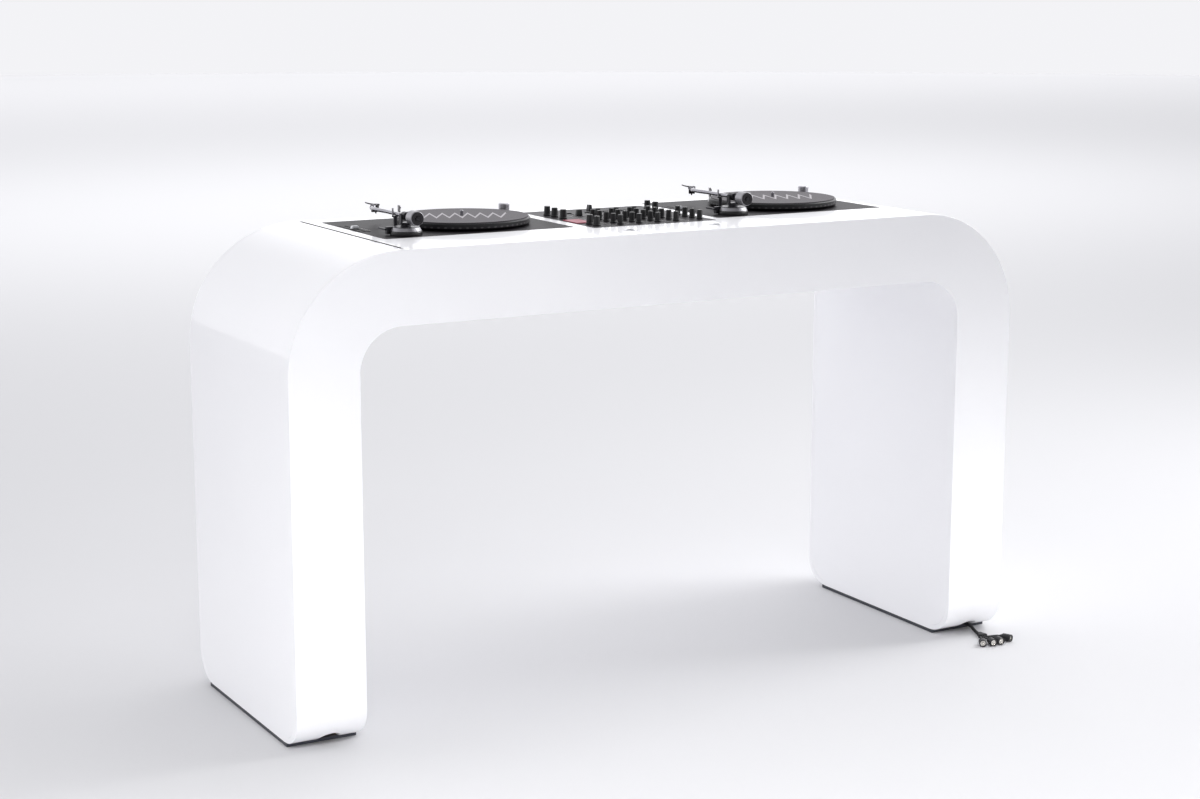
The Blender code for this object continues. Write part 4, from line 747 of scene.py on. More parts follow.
def dress(node, look):
    """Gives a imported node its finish, in every slot that it has."""
    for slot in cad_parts[node].material_slots:
        slot.material = look


laminate = grain(finish("black_laminate", "#33353d", 0.5), 1.2, 0.00008, 0.06)
cap = rounded([(0, -0.014), (0.012, -0.014), (0.012, FIT), (0.015, FIT), (0.0146, 0.0008), (0.0088, 0.0008),
               (0.0085, -0.005), (0, -0.005)], 0.0004)
for side in SIDES:
    middle, size = box_middle(f"{side}_plinth")
    board = moved(block((*size, 0.008)), (*middle, 0))
    piece(f"plinth_{side}", "booth", [(board, laminate)], [f"{side}_plinth"])
for side, place in zip(SIDES, inlay_places):
    aluminium = finish(f"turned_aluminium_{side}_inlay", "#c9cacd", 0.28, Metallic=1.0)
    inlay = [(moved(turned(cap, 48), (*place, HEIGHT)), streaked(aluminium, place, 0.8, 0.00001))]
    piece(f"inlay_{side}", "booth", inlay, [f"{side}_worktop_inlay"])
birch = plywood(finish("birch_plywood_seam_shade", "#c9a878", 0.6), FLAT_START)
dress("carcass", birch)
print(f"plinths: {size[0]:.3f} x {size[1]:.3f} m")

# %% [markdown]
# ## Deck plates
#
# A turntable's top plate is die-cast aluminium, blasted and painted a satin warm black, so that it shows a
# soft highlight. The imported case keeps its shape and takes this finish. Only the bed of the pitch slot, with
# its printed scale, is laid on it. The metals and plastics of the arms and controls are named here too: each
# has its own base and roughness, and a grain in millimetres that breaks up its highlight.

# %% Deck plates
# Satin paint over a blasted casting: a low, soft highlight.
satin_black = finish("satin_painted_casting", "#1d1a1d", 0.5, Specular_IOR_Level=0.1)
grain(satin_black, 0.35, 0.00002, 0.05)
# Screen print: flat white strokes with the tooth of the screen.
print_white = grain(finish("screen_printed_white", "#d9d9d6", 0.6), 0.2, 0.00001)
# Polished chrome: sharp dark and light bands along the tube, a little dulled by hands.
chrome = grain(finish("polished_chrome", "#8d8c91", 0.2, Metallic=1.0), 0.6, 0.000004, 0.03)
# Bare casting: a grey metal skin that spreads the light.
cast_aluminium = grain(finish("cast_aluminium", "#9d9ca0", 0.40, Metallic=0.7), 0.5, 0.00004, 0.08)
# Turned counterweight: brighter, and smoother than the casting.
weight_metal = grain(finish("turned_bright_weight", "#8f8e92", 0.36, Metallic=0.8), 0.4, 0.00002, 0.05)
# Its end is painted: dark and dull, so that the bright ring round it stands out.
weight_end = finish("dark_painted_weight_end", "#2b292c", 0.6, Specular_IOR_Level=0.2)
grain(weight_end, 0.4, 0.00002, 0.05)
# Dark anodising: a metal's tight highlight on a nearly black surface.
dark_anodised = grain(finish("dark_anodised_aluminium", "#323135", 0.36, Metallic=0.8), 0.4, 0.00002, 0.06)
# Matt paint on the headshell: hardly any highlight.
shell_black = grain(finish("matt_black_headshell", "#121114", 0.7, Specular_IOR_Level=0.1), 0.4, 0.00002, 0.05)
# Moulded plastic: black, with a broad grey sheen.
black_abs = grain(finish("moulded_black_plastic", "#1a1a1c", 0.42, IOR=1.52), 0.5, 0.00003, 0.06)

# %% Deck plates: places
PIVOT, ARM_AXIS, ARM_TURN = (-0.155, -0.125), 0.040, 89.476
PITCH_PLACE, LAMP_PLACE = (-0.209, 0.026), (-0.052, 0.140)
PLATTER_SHIFT = 0.037  # the platter's axis, from the middle of the plate
deck_middles = {side: box_middle(f"{side}_deck_case")[0] for side in SIDES}
platter_axes = {side: deck_middles[side] + (PLATTER_SHIFT, 0.0) for side in SIDES}


def all_moved(parts, place=(0, 0, 0), turn=0.0, axis="Z"):
    """(part, material) pairs, each part moved in the same way."""
    return [(moved(part, place, turn, axis), look) for part, look in parts]


def on_deck(side, parts, place=(0, 0, 0), turn=0.0):
    """Pairs placed from the middle of a deck's plate, at the plate's height."""
    return all_moved(parts, np.array(place) + (*deck_middles[side], HEIGHT), turn)


def on_arm(side, parts, place=(0, 0, 0), turn=0.0, axis="Z"):
    """Pairs placed from the foot of the arm's pivot, with +X along the arm at rest."""
    return on_deck(side, all_moved(parts, place, turn, axis), (*PIVOT, 0), ARM_TURN)


def scale_strokes(x, heights):
    """Printed strokes of a fader's scale, with every fifth one longer."""
    widths = [0.0035 if k % 5 else 0.006 for k in range(len(heights))]
    return [(moved(block((width, 0.0005, 0.0002), 0.00005), (x, y, 0)), print_white)
            for width, y in zip(widths, heights)]


bed_outline, bed_slot = rectangle(0.024, 0.122, 0.002), rectangle(0.0042, 0.1115, 0.0008)[::-1]
bed = moved(routed([bed_outline, bed_slot], 0.0008, 0.00079, 0.0002), (*PITCH_PLACE, 0))
scale = [(bed, satin_black), *scale_strokes(-0.194, np.linspace(-0.022, 0.074, 21))]
for side in SIDES:
    dress(f"{side}_deck_case", satin_black)
    piece(f"{side}_pitch_scale", "booth", on_deck(side, scale))
    print(side, "deck's middle:", [round(float(value), 4) for value in deck_middles[side]])

# %% [markdown]
# ## Platters, spindles and slipmats
#
# The platter is a heavy casting, turned on a lathe: its top is flat, with rings 0.9 mm apart, and its rim is
# bevelled. Round the rim runs a row of raised dots, 7 mm long, that are watched under the strobe lamp. They are
# a pattern of the finish: the angle round the axis and the height place each point in its cell. The rim and its
# dots are coloured near black, as painted shade of the platter's side. The slipmat is a disc of felt, a little
# smaller, with a light zigzag printed across it. It is a sheet that is laid down.


# %% Platters
def dotted(material, centre, count, pitch):
    """Light raised dots in one row round a rim, as an oval in each cell.

    Two triangle waves, over the angle and over the height, both reach 1 in the middle of a cell. A dot covers
    what lies nearer than 0.42 to that point, with an edge that fades from 0.38 to 0.46.
    """
    tree = material.node_tree
    split = add(tree, "ShaderNodeSeparateXYZ", {"Vector": own_place(tree, centre)}).outputs
    column = maths(tree, "MULTIPLY", maths(tree, "ARCTAN2", split["Y"], split["X"]), count / math.pi)
    row = maths(tree, "DIVIDE", split["Z"], pitch)
    waves = {"X": maths(tree, "PINGPONG", column, 1.0), "Y": maths(tree, "PINGPONG", row, 1.0), "Z": 0.0}
    cell = add(tree, "ShaderNodeCombineXYZ", waves).outputs["Vector"]
    off = add(tree, "ShaderNodeVectorMath", {0: cell, 1: (1.0, 1.0, 0.0)}, operation="DISTANCE")
    fade = {"Value": off.outputs["Value"], "From Min": 0.46, "From Max": 0.38}
    dot = add(tree, "ShaderNodeMapRange", fade).outputs["Result"]
    mask = maths(tree, "MULTIPLY", dot, maths(tree, "LESS_THAN", row, 2.0))
    # Painted shade: a near black rim with dim dots, for the shade on the platter's side.
    tinted(material, blended(tree, mask, "#19181b", "#4a494c"))
    raised(material, mask, 0.0002)
    return material


PLATTER, MAT, HOLE = 0.152, 0.148, 0.0123
DOTS, DOT_FOOT, DOT_HALF = 60, 0.0035, 0.0042
platter_profile = rounded([(HOLE, -0.0057), (0.030, -0.0057), (0.030, 0.008), (PLATTER - 0.014, 0.008),
                           (PLATTER - 0.014, 0.0015), (PLATTER - 0.004, 0.0015), (PLATTER, 0.0055),
                           (PLATTER, 0.0150), (PLATTER - 0.002, 0.017), (HOLE, 0.017)], 0.0006, closed=True)
spindle_profile = rounded([(0, -0.0442), (0.005, -0.0442), (0.005, -0.012), (0.060, -0.012), (0.060, -0.006),
                           (0.012, -0.006), (0.012, 0.0167), (0.0036, 0.0167), (0.0036, 0.0290),
                           (0.0016, 0.031), (0, 0.031)], 0.0005)


def rimmed(part, top_look, rim_shade_look):
    """A platter's faces: those that lie wholly beyond the bevel's foot take the rim's painted shade."""

    def look_of(corners):
        return rim_shade_look if min(np.hypot(*corners[:, :2].T)) > PLATTER - 0.0045 else top_look

    return by_face(part, look_of)


for side in SIDES:
    axis = (*platter_axes[side], HEIGHT)
    turned_top = finish(f"turned_{side}_platter_top", "#77767b", 0.34, Metallic=0.9)
    streaked(turned_top, platter_axes[side], 0.9, 0.00001)
    # Painted shade: the rim is near black, as the platter's side lies in shade.
    rim_shade = finish(f"cast_{side}_platter_rim_painted_shade", "#19181b", 0.42, Metallic=0.3)
    dotted(rim_shade, (*platter_axes[side], HEIGHT + DOT_FOOT), DOTS, DOT_HALF)
    disc = rimmed(turned(platter_profile, 192, closed=True), turned_top, rim_shade)
    piece(f"{side}_platter", f"{side}_platter", all_moved(disc, axis),
          [f"{side}_deck_platter"])
    pin = [(moved(turned(spindle_profile, 40), axis), chrome)]
    piece(f"{side}_spindle", f"{side}_platter", pin, [f"{side}_deck_spindle"])
print(f"platters: {2 * PLATTER:.3f} m across, {DOTS} dots")

# %% [markdown]
# Felt is matt and slightly hairy: a sheen along its edges, and a relief of fibres 1.2 mm long. The zigzag band
# is a generic one: what lies near a triangle wave along the mat's diameter.


# %% Slipmats
ZIGZAG_SLOPE, ZIGZAG_HEIGHT, ZIGZAG_HALF_WIDTH, ZIGZAG_REACH = 6.0, 0.085, 0.014, 0.100
ZIGZAG_TURN = -24


def felted(material, centre):
    """Felt with a zigzag band: a point is light within 14 mm, along y, of a triangle wave 85 mm high."""
    tree = material.node_tree
    band = {"Vector": own_place(tree, (*centre, 0.0)), "Angle": math.radians(-ZIGZAG_TURN)}
    along = add(tree, "ShaderNodeVectorRotate", band, rotation_type="Z_AXIS").outputs["Vector"]
    split = add(tree, "ShaderNodeSeparateXYZ", {"Vector": along}).outputs
    wave = maths(tree, "PINGPONG", maths(tree, "MULTIPLY", split["X"], ZIGZAG_SLOPE), ZIGZAG_HEIGHT)
    lifted = maths(tree, "SUBTRACT", split["Y"], wave)
    near = maths(tree, "COMPARE", lifted, -ZIGZAG_HEIGHT / 2, ZIGZAG_HALF_WIDTH)
    mask = maths(tree, "MULTIPLY", near, maths(tree, "COMPARE", split["X"], 0.0, ZIGZAG_REACH))
    fibre_size = {"Vector": own_place(tree), "Scale": 1000 / 1.2, "Detail": 4.0}
    fibres = add(tree, "ShaderNodeTexNoise", fibre_size).outputs["Fac"]
    tinted(material, blended(tree, mask, blended(tree, fibres, "#2b272c", "#4a444b"), "#a9a5a9"))
    raised(material, fibres, 0.0002)
    return material


PIN_HOLE, MAT_LOW, MAT_HIGH = 0.0041, 0.0173, 0.0189
mat_profile = rounded([(PIN_HOLE, MAT_LOW), (MAT, MAT_LOW), (MAT, MAT_HIGH), (PIN_HOLE, MAT_HIGH)], 0.0005,
                      closed=True)
for side in SIDES:
    felt = finish(f"wool_felt_{side}", "#544e54", 0.9, Sheen_Weight=0.15, Sheen_Roughness=0.5)
    disc = moved(turned(mat_profile, 160, closed=True), (*platter_axes[side], HEIGHT))
    layer = [(disc, felted(felt, platter_axes[side]))]
    mat = piece(f"{side}_slipmat", f"{side}_platter", layer, [f"{side}_deck_slipmat"])
    print(f"{side} mat: {2 * MAT:.3f} m across")

# %% [markdown]
# ## Tonearms
#
# The arm stands on a round cast base with a column. A fork swings on the column and carries the arm between
# its two ears. The chromed tube leaves the bearing straight, leans out, and turns in by 22 degrees to the
# headshell, which holds the cartridge and has a finger lift. The counterweight sits on the stub behind.


# %% Tonearms: fixed base and fork
def bar(start, end, width, height, edge=0.0006):
    """A rounded bar lying from one point to another, its foot on the line between them."""
    start, end = np.array(start, float), np.array(end, float)
    way = end - start
    length = float(np.linalg.norm(way[:2]))
    middle = (start + end) / 2
    return moved(block((length, width, height), edge), middle, math.degrees(math.atan2(way[1], way[0])))


def cut_sheet(outline, steps):
    """A flat piece cut to an outline: each ring is the outline drawn in by some way, at a height."""
    return loft([level(drawn_in(outline, inset), z) for inset, z in steps])


base_profile = rounded([(0, FIT), (0.035, FIT), (0.035, 0.0065), (0.0333, 0.0095), (0.0285, 0.018),
                        (0.020, 0.018), (0.019, 0.0172), (0.0125, 0.0172), (0.011, 0.018), (0.011, 0.022),
                        (0, 0.022)], 0.0012)
FOOT_TOP, SLOPE_TOP = 0.0094, 0.0165
post_profile = rounded([(0, 0.0022), (0.004, 0.0022), (0.004, 0.0338), (0, 0.0338)], 0.0006)
prong = rounded([(0.0047, 0.0325), (0.0077, 0.0325), (0.0077, 0.052), (0.0047, 0.052)], 0.0009, closed=True)
prong_rings = [np.insert(prong, 0, x, axis=1) for x in (0.0535, 0.0538, 0.0562, 0.0565)]
ear = rounded([(-0.006, 0.0223), (0.006, 0.0223), (0.006, 0.0375), (0.0035, 0.046), (-0.0035, 0.046),
               (-0.006, 0.0375)], 0.002, closed=True)
ear_steps = ((0.0095, 0.95), (0.0099, 1.0), (0.0131, 1.0), (0.0135, 0.95))
ear_rings = np.stack([upright(shrunk(ear, share), y) for y, share in ear_steps])
DISC, DISC_FLAT = 0.014, 0.006
reach = math.acos(-DISC_FLAT / DISC)
disc_line = np.linspace(-reach, reach, 41)
disc = DISC * np.stack([np.cos(disc_line), np.sin(disc_line)], -1)
disc_steps = ((0.0006, 0.0223), (0.0001, 0.0226), (0, 0.023), (0, 0.0257), (0.0001, 0.0260), (0.0006, 0.0263))


def stand_shade_and_highlight(corners):
    """Painted light: a black foot for shade, a light cast band on the slope for a highlight, a dark top."""
    z = corners[:, 2].mean()
    if z <= FOOT_TOP:
        return black_abs
    return cast_aluminium if z < SLOPE_TOP else dark_anodised


# The stand's colours by height paint the shade at its foot and the highlight on its slope.
stand = by_face(turned(base_profile, 96), stand_shade_and_highlight) + [
    (moved(turned(post_profile, 32), (0.055, 0, 0)), dark_anodised),
    (bar((0.022, 0, 0.0022), (0.055, 0, 0.0022), 0.008, 0.0043), dark_anodised),
    (bar((0.055, -0.004, 0.0323), (0.055, 0.0077, 0.0323), 0.006, 0.003), dark_anodised),
    (loft(prong_rings), cast_aluminium),
    (moved(block((0.012, 0.018, 0.0158), 0.001), (0.012, 0.032, 0.0022)), dark_anodised),
]
fork = [(cut_sheet(disc, disc_steps), dark_anodised)]
fork += [(loft(ear_rings * (1, side, 1)), dark_anodised) for side in (1, -1)]
for side in SIDES:
    piece(f"{side}_arm_stand", "booth", on_arm(side, stand), [f"{side}_deck_arm_base"])
    piece(f"{side}_arm_fork", f"{side}_arm_yoke", on_arm(side, fork), [f"{side}_deck_arm_yoke"])
print("parts of a stand and a fork:", len(stand), len(fork))

# %% [markdown]
# The tube is one path with a radius at each point. Its curved part is two cubics that meet with one heading:
# Hermite's form gives a cubic from its two ends and the directions there.


# %% Tonearms: the tube's line
def heading_of(angle):
    """The unit vector at an angle in plan."""
    return np.array((math.cos(angle), math.sin(angle)))


def hermite(start, start_angle, end, end_angle, steps):
    """(2t^3-3t^2+1) a + (t^3-2t^2+t) p + (-2t^3+3t^2) b + (t^3-t^2) q, with p and q as long as a to b."""
    t = np.linspace(0, 1, steps + 1)[1:, None]
    start, end = np.array(start, float), np.array(end, float)
    pull = np.linalg.norm(end - start)
    p, q = pull * heading_of(start_angle), pull * heading_of(end_angle)
    from_start = (2 * t**3 - 3 * t**2 + 1) * start + (t**3 - 2 * t**2 + t) * p
    return from_start + (3 * t**2 - 2 * t**3) * end + (t**3 - t**2) * q


OVERHANG = 0.015  # how far the stylus reaches beyond the platter's axis
STYLUS_TURN, SHELL_TURN = -8, -30
SHELL_LENGTH, NECK, STEM = 0.052, 0.010, 0.095
mounting = math.hypot(PLATTER_SHIFT - PIVOT[0], PIVOT[1])
ARM_REACH = mounting + OVERHANG
shell_way, bulge_way = math.radians(SHELL_TURN), math.radians(6)
stylus = ARM_REACH * heading_of(math.radians(STYLUS_TURN))
collar = stylus - SHELL_LENGTH * heading_of(shell_way)
neck = collar - NECK * heading_of(shell_way)
stem_end = np.array((STEM, 0.0))
bulge = np.array((STEM + (collar[0] - STEM) * 0.36, 0.0035))
tube_line = np.concatenate([
    [(0.010, 0), (STEM - 0.0005, 0), stem_end],
    hermite(stem_end, 0, bulge, bulge_way, 10),
    hermite(bulge, bulge_way, neck, shell_way, 30),
    neck[None] + 0.004 * (neck - bulge) / np.linalg.norm(neck - bulge),
])
tube_line = level(tube_line, ARM_AXIS)
print(f"arm reach: {ARM_REACH:.4f} m")

# %% [markdown]
# The bearing's hub, the ribbed stub and the locking collar are turned, so they are spun profiles. The
# counterweight is a ring with a stepped face and a painted end. The headshell is a thin cut plate with the
# cartridge under it, held by two screws, and its finger lift is a bent rod that thins towards its tip.

# %% Tonearms: profiles
hub_profile = rounded([(0, -0.0095), (0.0075, -0.0095), (0.009, -0.008), (0.009, 0.0095), (0.0075, 0.0118),
                       (0, 0.0118)], 0.0005)
stub_profile = np.concatenate([
    [(0, -0.064)],
    ribbed((0.0041, -0.0635), (0.0044, -0.0125), 0.0003, 34),
    [(0.0045, -0.012), (0.0045, -0.009), (0, -0.009)],
])
collar_profile = np.concatenate([
    [(0, -0.010), (0.0054, -0.010)],
    ribbed((0.0061, -0.009), (0.0061, -0.001), 0.0003, 6),
    [(0.0054, 0), (0, 0)],
])
weight_profile = rounded([(0.005, -0.028), (0.0118, -0.028), (0.0125, -0.0287), (0.0125, -0.0335),
                          (0.0131, -0.034), (0.0155, -0.034), (0.0155, -0.060), (0.0135, -0.062),
                          (0.0085, -0.062), (0.0080, -0.0614), (0.005, -0.0614)], 0.0005, closed=True)
WEIGHT_END = -0.0612
plate_outline = rounded([(0.008, -0.0055), (0.016, -0.0085), (0.0535, -0.0085), (0.056, -0.006), (0.056, 0.006),
                         (0.0535, 0.0085), (0.016, 0.0085), (0.008, 0.0055)], 0.002, closed=True)
plate_steps = ((0.0006, -0.0018), (0.0001, -0.0016), (0, -0.0012), (0, 0.0010), (0.0003, 0.0016),
               (0.0008, 0.0018))
plug_profile = rounded([(0, 0.0003), (0.0035, 0.0003), (0.0035, 0.012), (0, 0.012)], 0.0004)
screw_profile = rounded([(0, 0.0012), (0.0016, 0.0012), (0.0016, 0.0032), (0, 0.0032)], 0.0003)
axle_profile = rounded([(0, -0.010), (0.002, -0.010), (0.002, 0.004), (0, 0.004)], 0.0003)
RECORD_TOP = 0.0205  # where the stylus would touch, above the plate
t = np.linspace(0, 1, 12)
finger_line = np.column_stack([np.full(12, 0.050), 0.0065 + 0.0175 * t, 0.0010 + 0.0042 * t**1.6])


def weight_look(corners):
    """Dark at its painted end, bright elsewhere."""
    return weight_end if corners[:, 2].mean() < WEIGHT_END else weight_metal


# %% Tonearms: pieces
on_tube = [(turned(hub_profile, 48), dark_anodised), (turned(stub_profile, 32), dark_anodised)]
ring = moved(turned(collar_profile, 32), turn=90, axis="Y")
arm = [
    (tube(tube_line, np.full(len(tube_line), 0.0042), 32), chrome),
    *all_moved(on_tube, (0, 0, ARM_AXIS), 90, "Y"),
    (moved(ring, (*collar, ARM_AXIS), SHELL_TURN), chrome),
]
shell = [
    (cut_sheet(plate_outline, plate_steps), shell_black),
    (moved(turned(plug_profile, 32), turn=90, axis="Y"), chrome),
    (moved(block((0.026, 0.0144, 0.0125), 0.0012), (0.039, 0, -0.014)), shell_black),
    (moved(block((0.0036, 0.0030, 0.0062), 0.0006), (0.0499, 0, RECORD_TOP - ARM_AXIS)), black_abs),
    *[(moved(turned(screw_profile, 16), (0.024, y, 0)), chrome) for y in (0.0045, -0.0045)],
    (tube(finger_line, np.linspace(0.0017, 0.0011, 12), 12), dark_anodised),
]
shell = all_moved(shell, (*collar, ARM_AXIS), SHELL_TURN)
weight = by_face(turned(weight_profile, 64, closed=True), weight_look)
lever = [
    (moved(turned(axle_profile, 24), turn=-90, axis="X"), chrome),
    (moved(block((0.038, 0.004, 0.004), 0.001), (0.015, 0.0023, -0.002)), dark_anodised),
]
for side in SIDES:
    piece(f"{side}_arm_tube", f"{side}_tonearm", on_arm(side, arm), [f"{side}_deck_tonearm"])
    piece(f"{side}_arm_head", f"{side}_tonearm", on_arm(side, shell),
          [f"{side}_deck_headshell"])
    piece(f"{side}_arm_weight", f"{side}_counterweight", on_arm(side, weight, (0, 0, ARM_AXIS), 90, "Y"),
          [f"{side}_deck_counterweight"])
    piece(f"{side}_arm_cue_lever", f"{side}_cue_lever", on_arm(side, lever, (0.012, 0.041, 0.0126)),
          [f"{side}_deck_cue_lever"])
print("parts of an arm, a headshell and a lever:", len(arm), len(shell), len(lever))

# %% [markdown]
# ## Deck controls
#
# The start and speed buttons are pressed caps of brushed steel with crisp edges, the power dial is a turned
# column with a groove, and the pitch knob slides in its slot. Beside the platter stands the lamp that shines
# on the stylus: a bright turned tube with a small lens near its top, that presses down into the plate when it
# is not wanted. Here it is fitted over the plain column of the case.


# %% Deck controls
def cap_of(size, rise, body, edge):
    """A button: a rounded rectangle from below the plate up to its rise, a little dished on top."""
    inner = min(size) / 3
    section = rounded([(inner, -body), (0, -body), (0, rise), (0.0012, rise), (0.0022, rise - 0.0003),
                       (inner, rise - 0.0003)], edge, 3)
    return slab(*size, 0.0015, section, 4)


def slider(size):
    """A fader cap: rectangles that draw in on the way up, with a finger hollow across the top."""
    width, length, height = size
    section = [(0.003, FIT), (0.0004, FIT), (0, 0.0007), (0, height / 3), (0.10 * length, 0.8 * height),
               (0.13 * length, height - 0.0004), (0.16 * length, height), (0.42 * length, height - 0.0008)]
    return slab(width, length, 0.0008, section, 3)


def fader(size, look, stem_width, line_z, line_look):
    """A cap in one material on its black stem, with a line across the top."""
    stem = moved(block((0.003, stem_width, 0.0066), 0.0003), (0, 0, -0.006))
    line = moved(block((0.012, 0.0008, 0.0004), 0.0001), (0, 0, line_z))
    return [(slider(size), look), (stem, black_abs), (line, line_look)]


# %% Deck controls: pieces
# Brushed steel: bright, its highlight broken up by marks of 0.3 mm.
brushed = grain(finish("brushed_steel", "#b9babd", 0.3, Metallic=1.0), 0.3, 0.00001, 0.06)
# Turned and clear-anodised dial: light grey, a little duller than the buttons.
dial_metal = grain(finish("turned_grey_dial", "#b3b2b7", 0.34, Metallic=0.9), 0.3, 0.00001, 0.05)
# Nickel-plated lamp tube: the brightest small thing on the deck.
lamp_tube = grain(finish("bright_nickel_tube", "#d2d1d2", 0.3, Metallic=0.8), 0.3, 0.00001, 0.05)
dial_profile = rounded([(0, -0.0017), (0.0125, -0.0017), (0.0125, 0.0065), (0.0120, 0.007), (0.0120, 0.0078),
                        (0.0125, 0.0083), (0.0125, 0.028), (0.0105, 0.030), (0, 0.030)], 0.0005)
lamp_profile = rounded([(0, FIT), (0.0056, FIT), (0.0056, 0.0010), (0.0037, 0.0016), (0.0037, 0.0320),
                        (0.0027, 0.0333), (0, 0.0333)], 0.0004)
lens_profile = rounded([(0, 0), (0.0019, 0), (0.0019, 0.0006), (0.0010, 0.0010), (0, 0.0010)], 0.0002)
to_axis = math.degrees(math.atan2(-LAMP_PLACE[1], PLATTER_SHIFT - LAMP_PLACE[0]))
lens = moved(moved(turned(lens_profile, 24), turn=90, axis="Y"), (0.0035, 0, 0.0275))
stylus_lamp = [(turned(lamp_profile, 40), lamp_tube), (moved(lens, turn=to_axis), black_abs)]
pitch_knob = fader((0.016, 0.011, 0.007), brushed, 0.0066, 0.0059, black_abs)
speed_cap = cap_of((0.018, 0.011), 0.0025, 0.0045, 0.0004)
controls = (
    ("start_button", (0.2005, 0.1535), cap_of((0.038, 0.024), 0.0025, 0.0045, 0.0004), brushed),
    ("speed_33_button", (0.158, 0.160), speed_cap, brushed),
    ("speed_45_button", (0.136, 0.160), speed_cap, brushed),
    ("power_dial", (0.190, 0.095), turned(dial_profile, 64), dial_metal),
)
for side in SIDES:
    for name, place, part, look in controls:
        control = on_deck(side, [(part, look)], (*place, 0))
        piece(f"{side}_{name}", f"{side}_{name}", control, [f"{side}_deck_{name}"])
    piece(f"{side}_pitch_slider", f"{side}_pitch_knob", on_deck(side, pitch_knob, (*PITCH_PLACE, 0)),
          [f"{side}_deck_pitch_knob"])
    piece(f"{side}_stylus_lamp", "booth", on_deck(side, stylus_lamp, (*LAMP_PLACE, 0)))
print("controls on each deck:", len(controls) + 1)

# %% [markdown]
# ## Mixer
#
# The mixer's faceplate is sheet steel with a fine black powder coat. On it stand the knobs in rows: each is
# moulded in black plastic, drawn in towards its top, with shallow flutes for the fingers and a white line.
# Flutes are a wave in the radius: r times 1 + d cos(n a). The faders and the crossfader slide in their slots.


# %% Mixer: faceplate
# Powder coat: satin black with the grain of melted powder, 0.5 mm.
powder = grain(finish("black_powder_coat", "#282528", 0.5, Specular_IOR_Level=0.2), 0.5, 0.00003, 0.05)
# Tinted display: a dark red window that glows faintly from behind.
glow = {"Emission_Color": linear("#c02c4c"), "Emission_Strength": 0.16}
display_glass = grain(finish("red_tinted_display", "#7a2036", 0.45, **glow), 2, 0.000002)
dress("mixer_case", powder)
mixer_middle, _ = box_middle("mixer_case")
CHANNEL, MIXER_LENGTH, ROW_COUNT = 0.048, 0.352, 11
CHANNELS = [(i - 1.5) * CHANNEL - 0.001 for i in range(4)]
ROW = MIXER_LENGTH / ROW_COUNT
ROWS = [-row * ROW for row in (4.375, 3.375, 2.375, 1.375, 0.4375)]
LOW_ROWS = [row * ROW for row in (0.5, 1.8125, 2.9375)]
LEFT_COLUMN, RIGHT_COLUMN = -0.133, 0.133
FADER_Y, CROSS_Y, CUE_Y = 1.625 * ROW, 4.21875 * ROW, 0.1
KNOB, KNOB_HEIGHT, WIDE = 0.0075, 0.022, 1.2


def on_mixer(parts, place=(0, 0, 0), turn=0.0):
    """Pairs placed from the middle of the faceplate."""
    return all_moved(parts, np.array(place) + (*mixer_middle, HEIGHT), turn)


def fluted(profile, flutes, depth, segments):
    """A spun profile whose radius also waves round the axis: r (1 + depth cos(flutes a))."""
    r, z = np.asarray(profile, float).T[..., None]
    a = np.linspace(0, 2 * np.pi, segments, endpoint=False)
    wide = r * (1 + depth * np.cos(flutes * a))
    return loft(np.stack([wide * np.cos(a), wide * np.sin(a), z + 0 * a], axis=-1), caps=False)


def knob_parts(scale, turn):
    """Skirt, fluted cap, and the white pointer on its top."""
    r, top = KNOB * scale, KNOB_HEIGHT - 0.0006
    skirt = rounded([(0, -0.0103), (0.003, -0.0103), (0.003, 0.0003), (r, 0.0003), (r, 0.0028),
                     (0.9 * r, 0.0040), (0, 0.0040)], 0.0004, 3)
    cap = rounded([(0, 0.0035), (0.86 * r, 0.0035), (0.76 * r, top), (0, top)], 0.0009, 3)
    pointer = moved(block((0.0011, 0.66 * r, 0.0007), 0.0002), (0, -0.40 * r, KNOB_HEIGHT - 0.0008))
    return [(turned(skirt, 24), black_abs), (fluted(cap, 8, 0.03, 48), black_abs),
            (moved(pointer, turn=turn), print_white)]


# %% Mixer: fixed knobs
fixed_knobs = [(x, y, 1.0) for x in CHANNELS for y in ROWS]
fixed_knobs += [(LEFT_COLUMN, y, WIDE) for y in (ROWS[1], *LOW_ROWS[1:])]
fixed_knobs += [(RIGHT_COLUMN, y, 1.0) for y in ROWS[:4]] + [(RIGHT_COLUMN, y, WIDE) for y in LOW_ROWS[1:]]
angles = np.random.default_rng(4).uniform(-60, 60, len(fixed_knobs))
board_low, board_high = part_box("mixer_knob_board")
board = block((board_high[0] - board_low[0], board_high[1] - board_low[1], 0.002), 0.0003)
knobs = []
for (x, y, scale), turn in zip(fixed_knobs, angles):
    knobs += on_mixer(knob_parts(scale, turn), (x, y, 0))
knobs.append((moved(board, (*mixer_middle, board_low[2])), black_abs))
piece("mixer_knobs", "booth", knobs, ["mixer_knob_board"])
print("fixed knobs:", len(fixed_knobs))

# %% Mixer: level knobs and faders
for name, y in (("master_level_knob", ROWS[0]), ("booth_level_knob", LOW_ROWS[0])):
    piece(f"{name}_cap", name, on_mixer(knob_parts(WIDE, 20), (LEFT_COLUMN, y, 0)), [name])
fader_cap = fader((0.014, 0.009, 0.014), black_abs, 0.0054, 0.0131, print_white)
for number, x in enumerate(reversed(CHANNELS), 1):
    name = f"channel_fader_{number}"
    piece(f"fader_{number}", name, on_mixer(fader_cap, (x, FADER_Y, 0)), [name])
piece("fader_cross", "crossfader", on_mixer(fader_cap, (0, CROSS_Y, 0), 90), ["crossfader"])
print("channel faders:", len(CHANNELS))

# %% [markdown]
# Thin things on the faceplate: the tinted window of the display, the printed scales along each fader, cue
# buttons, and printed lines between the channels.

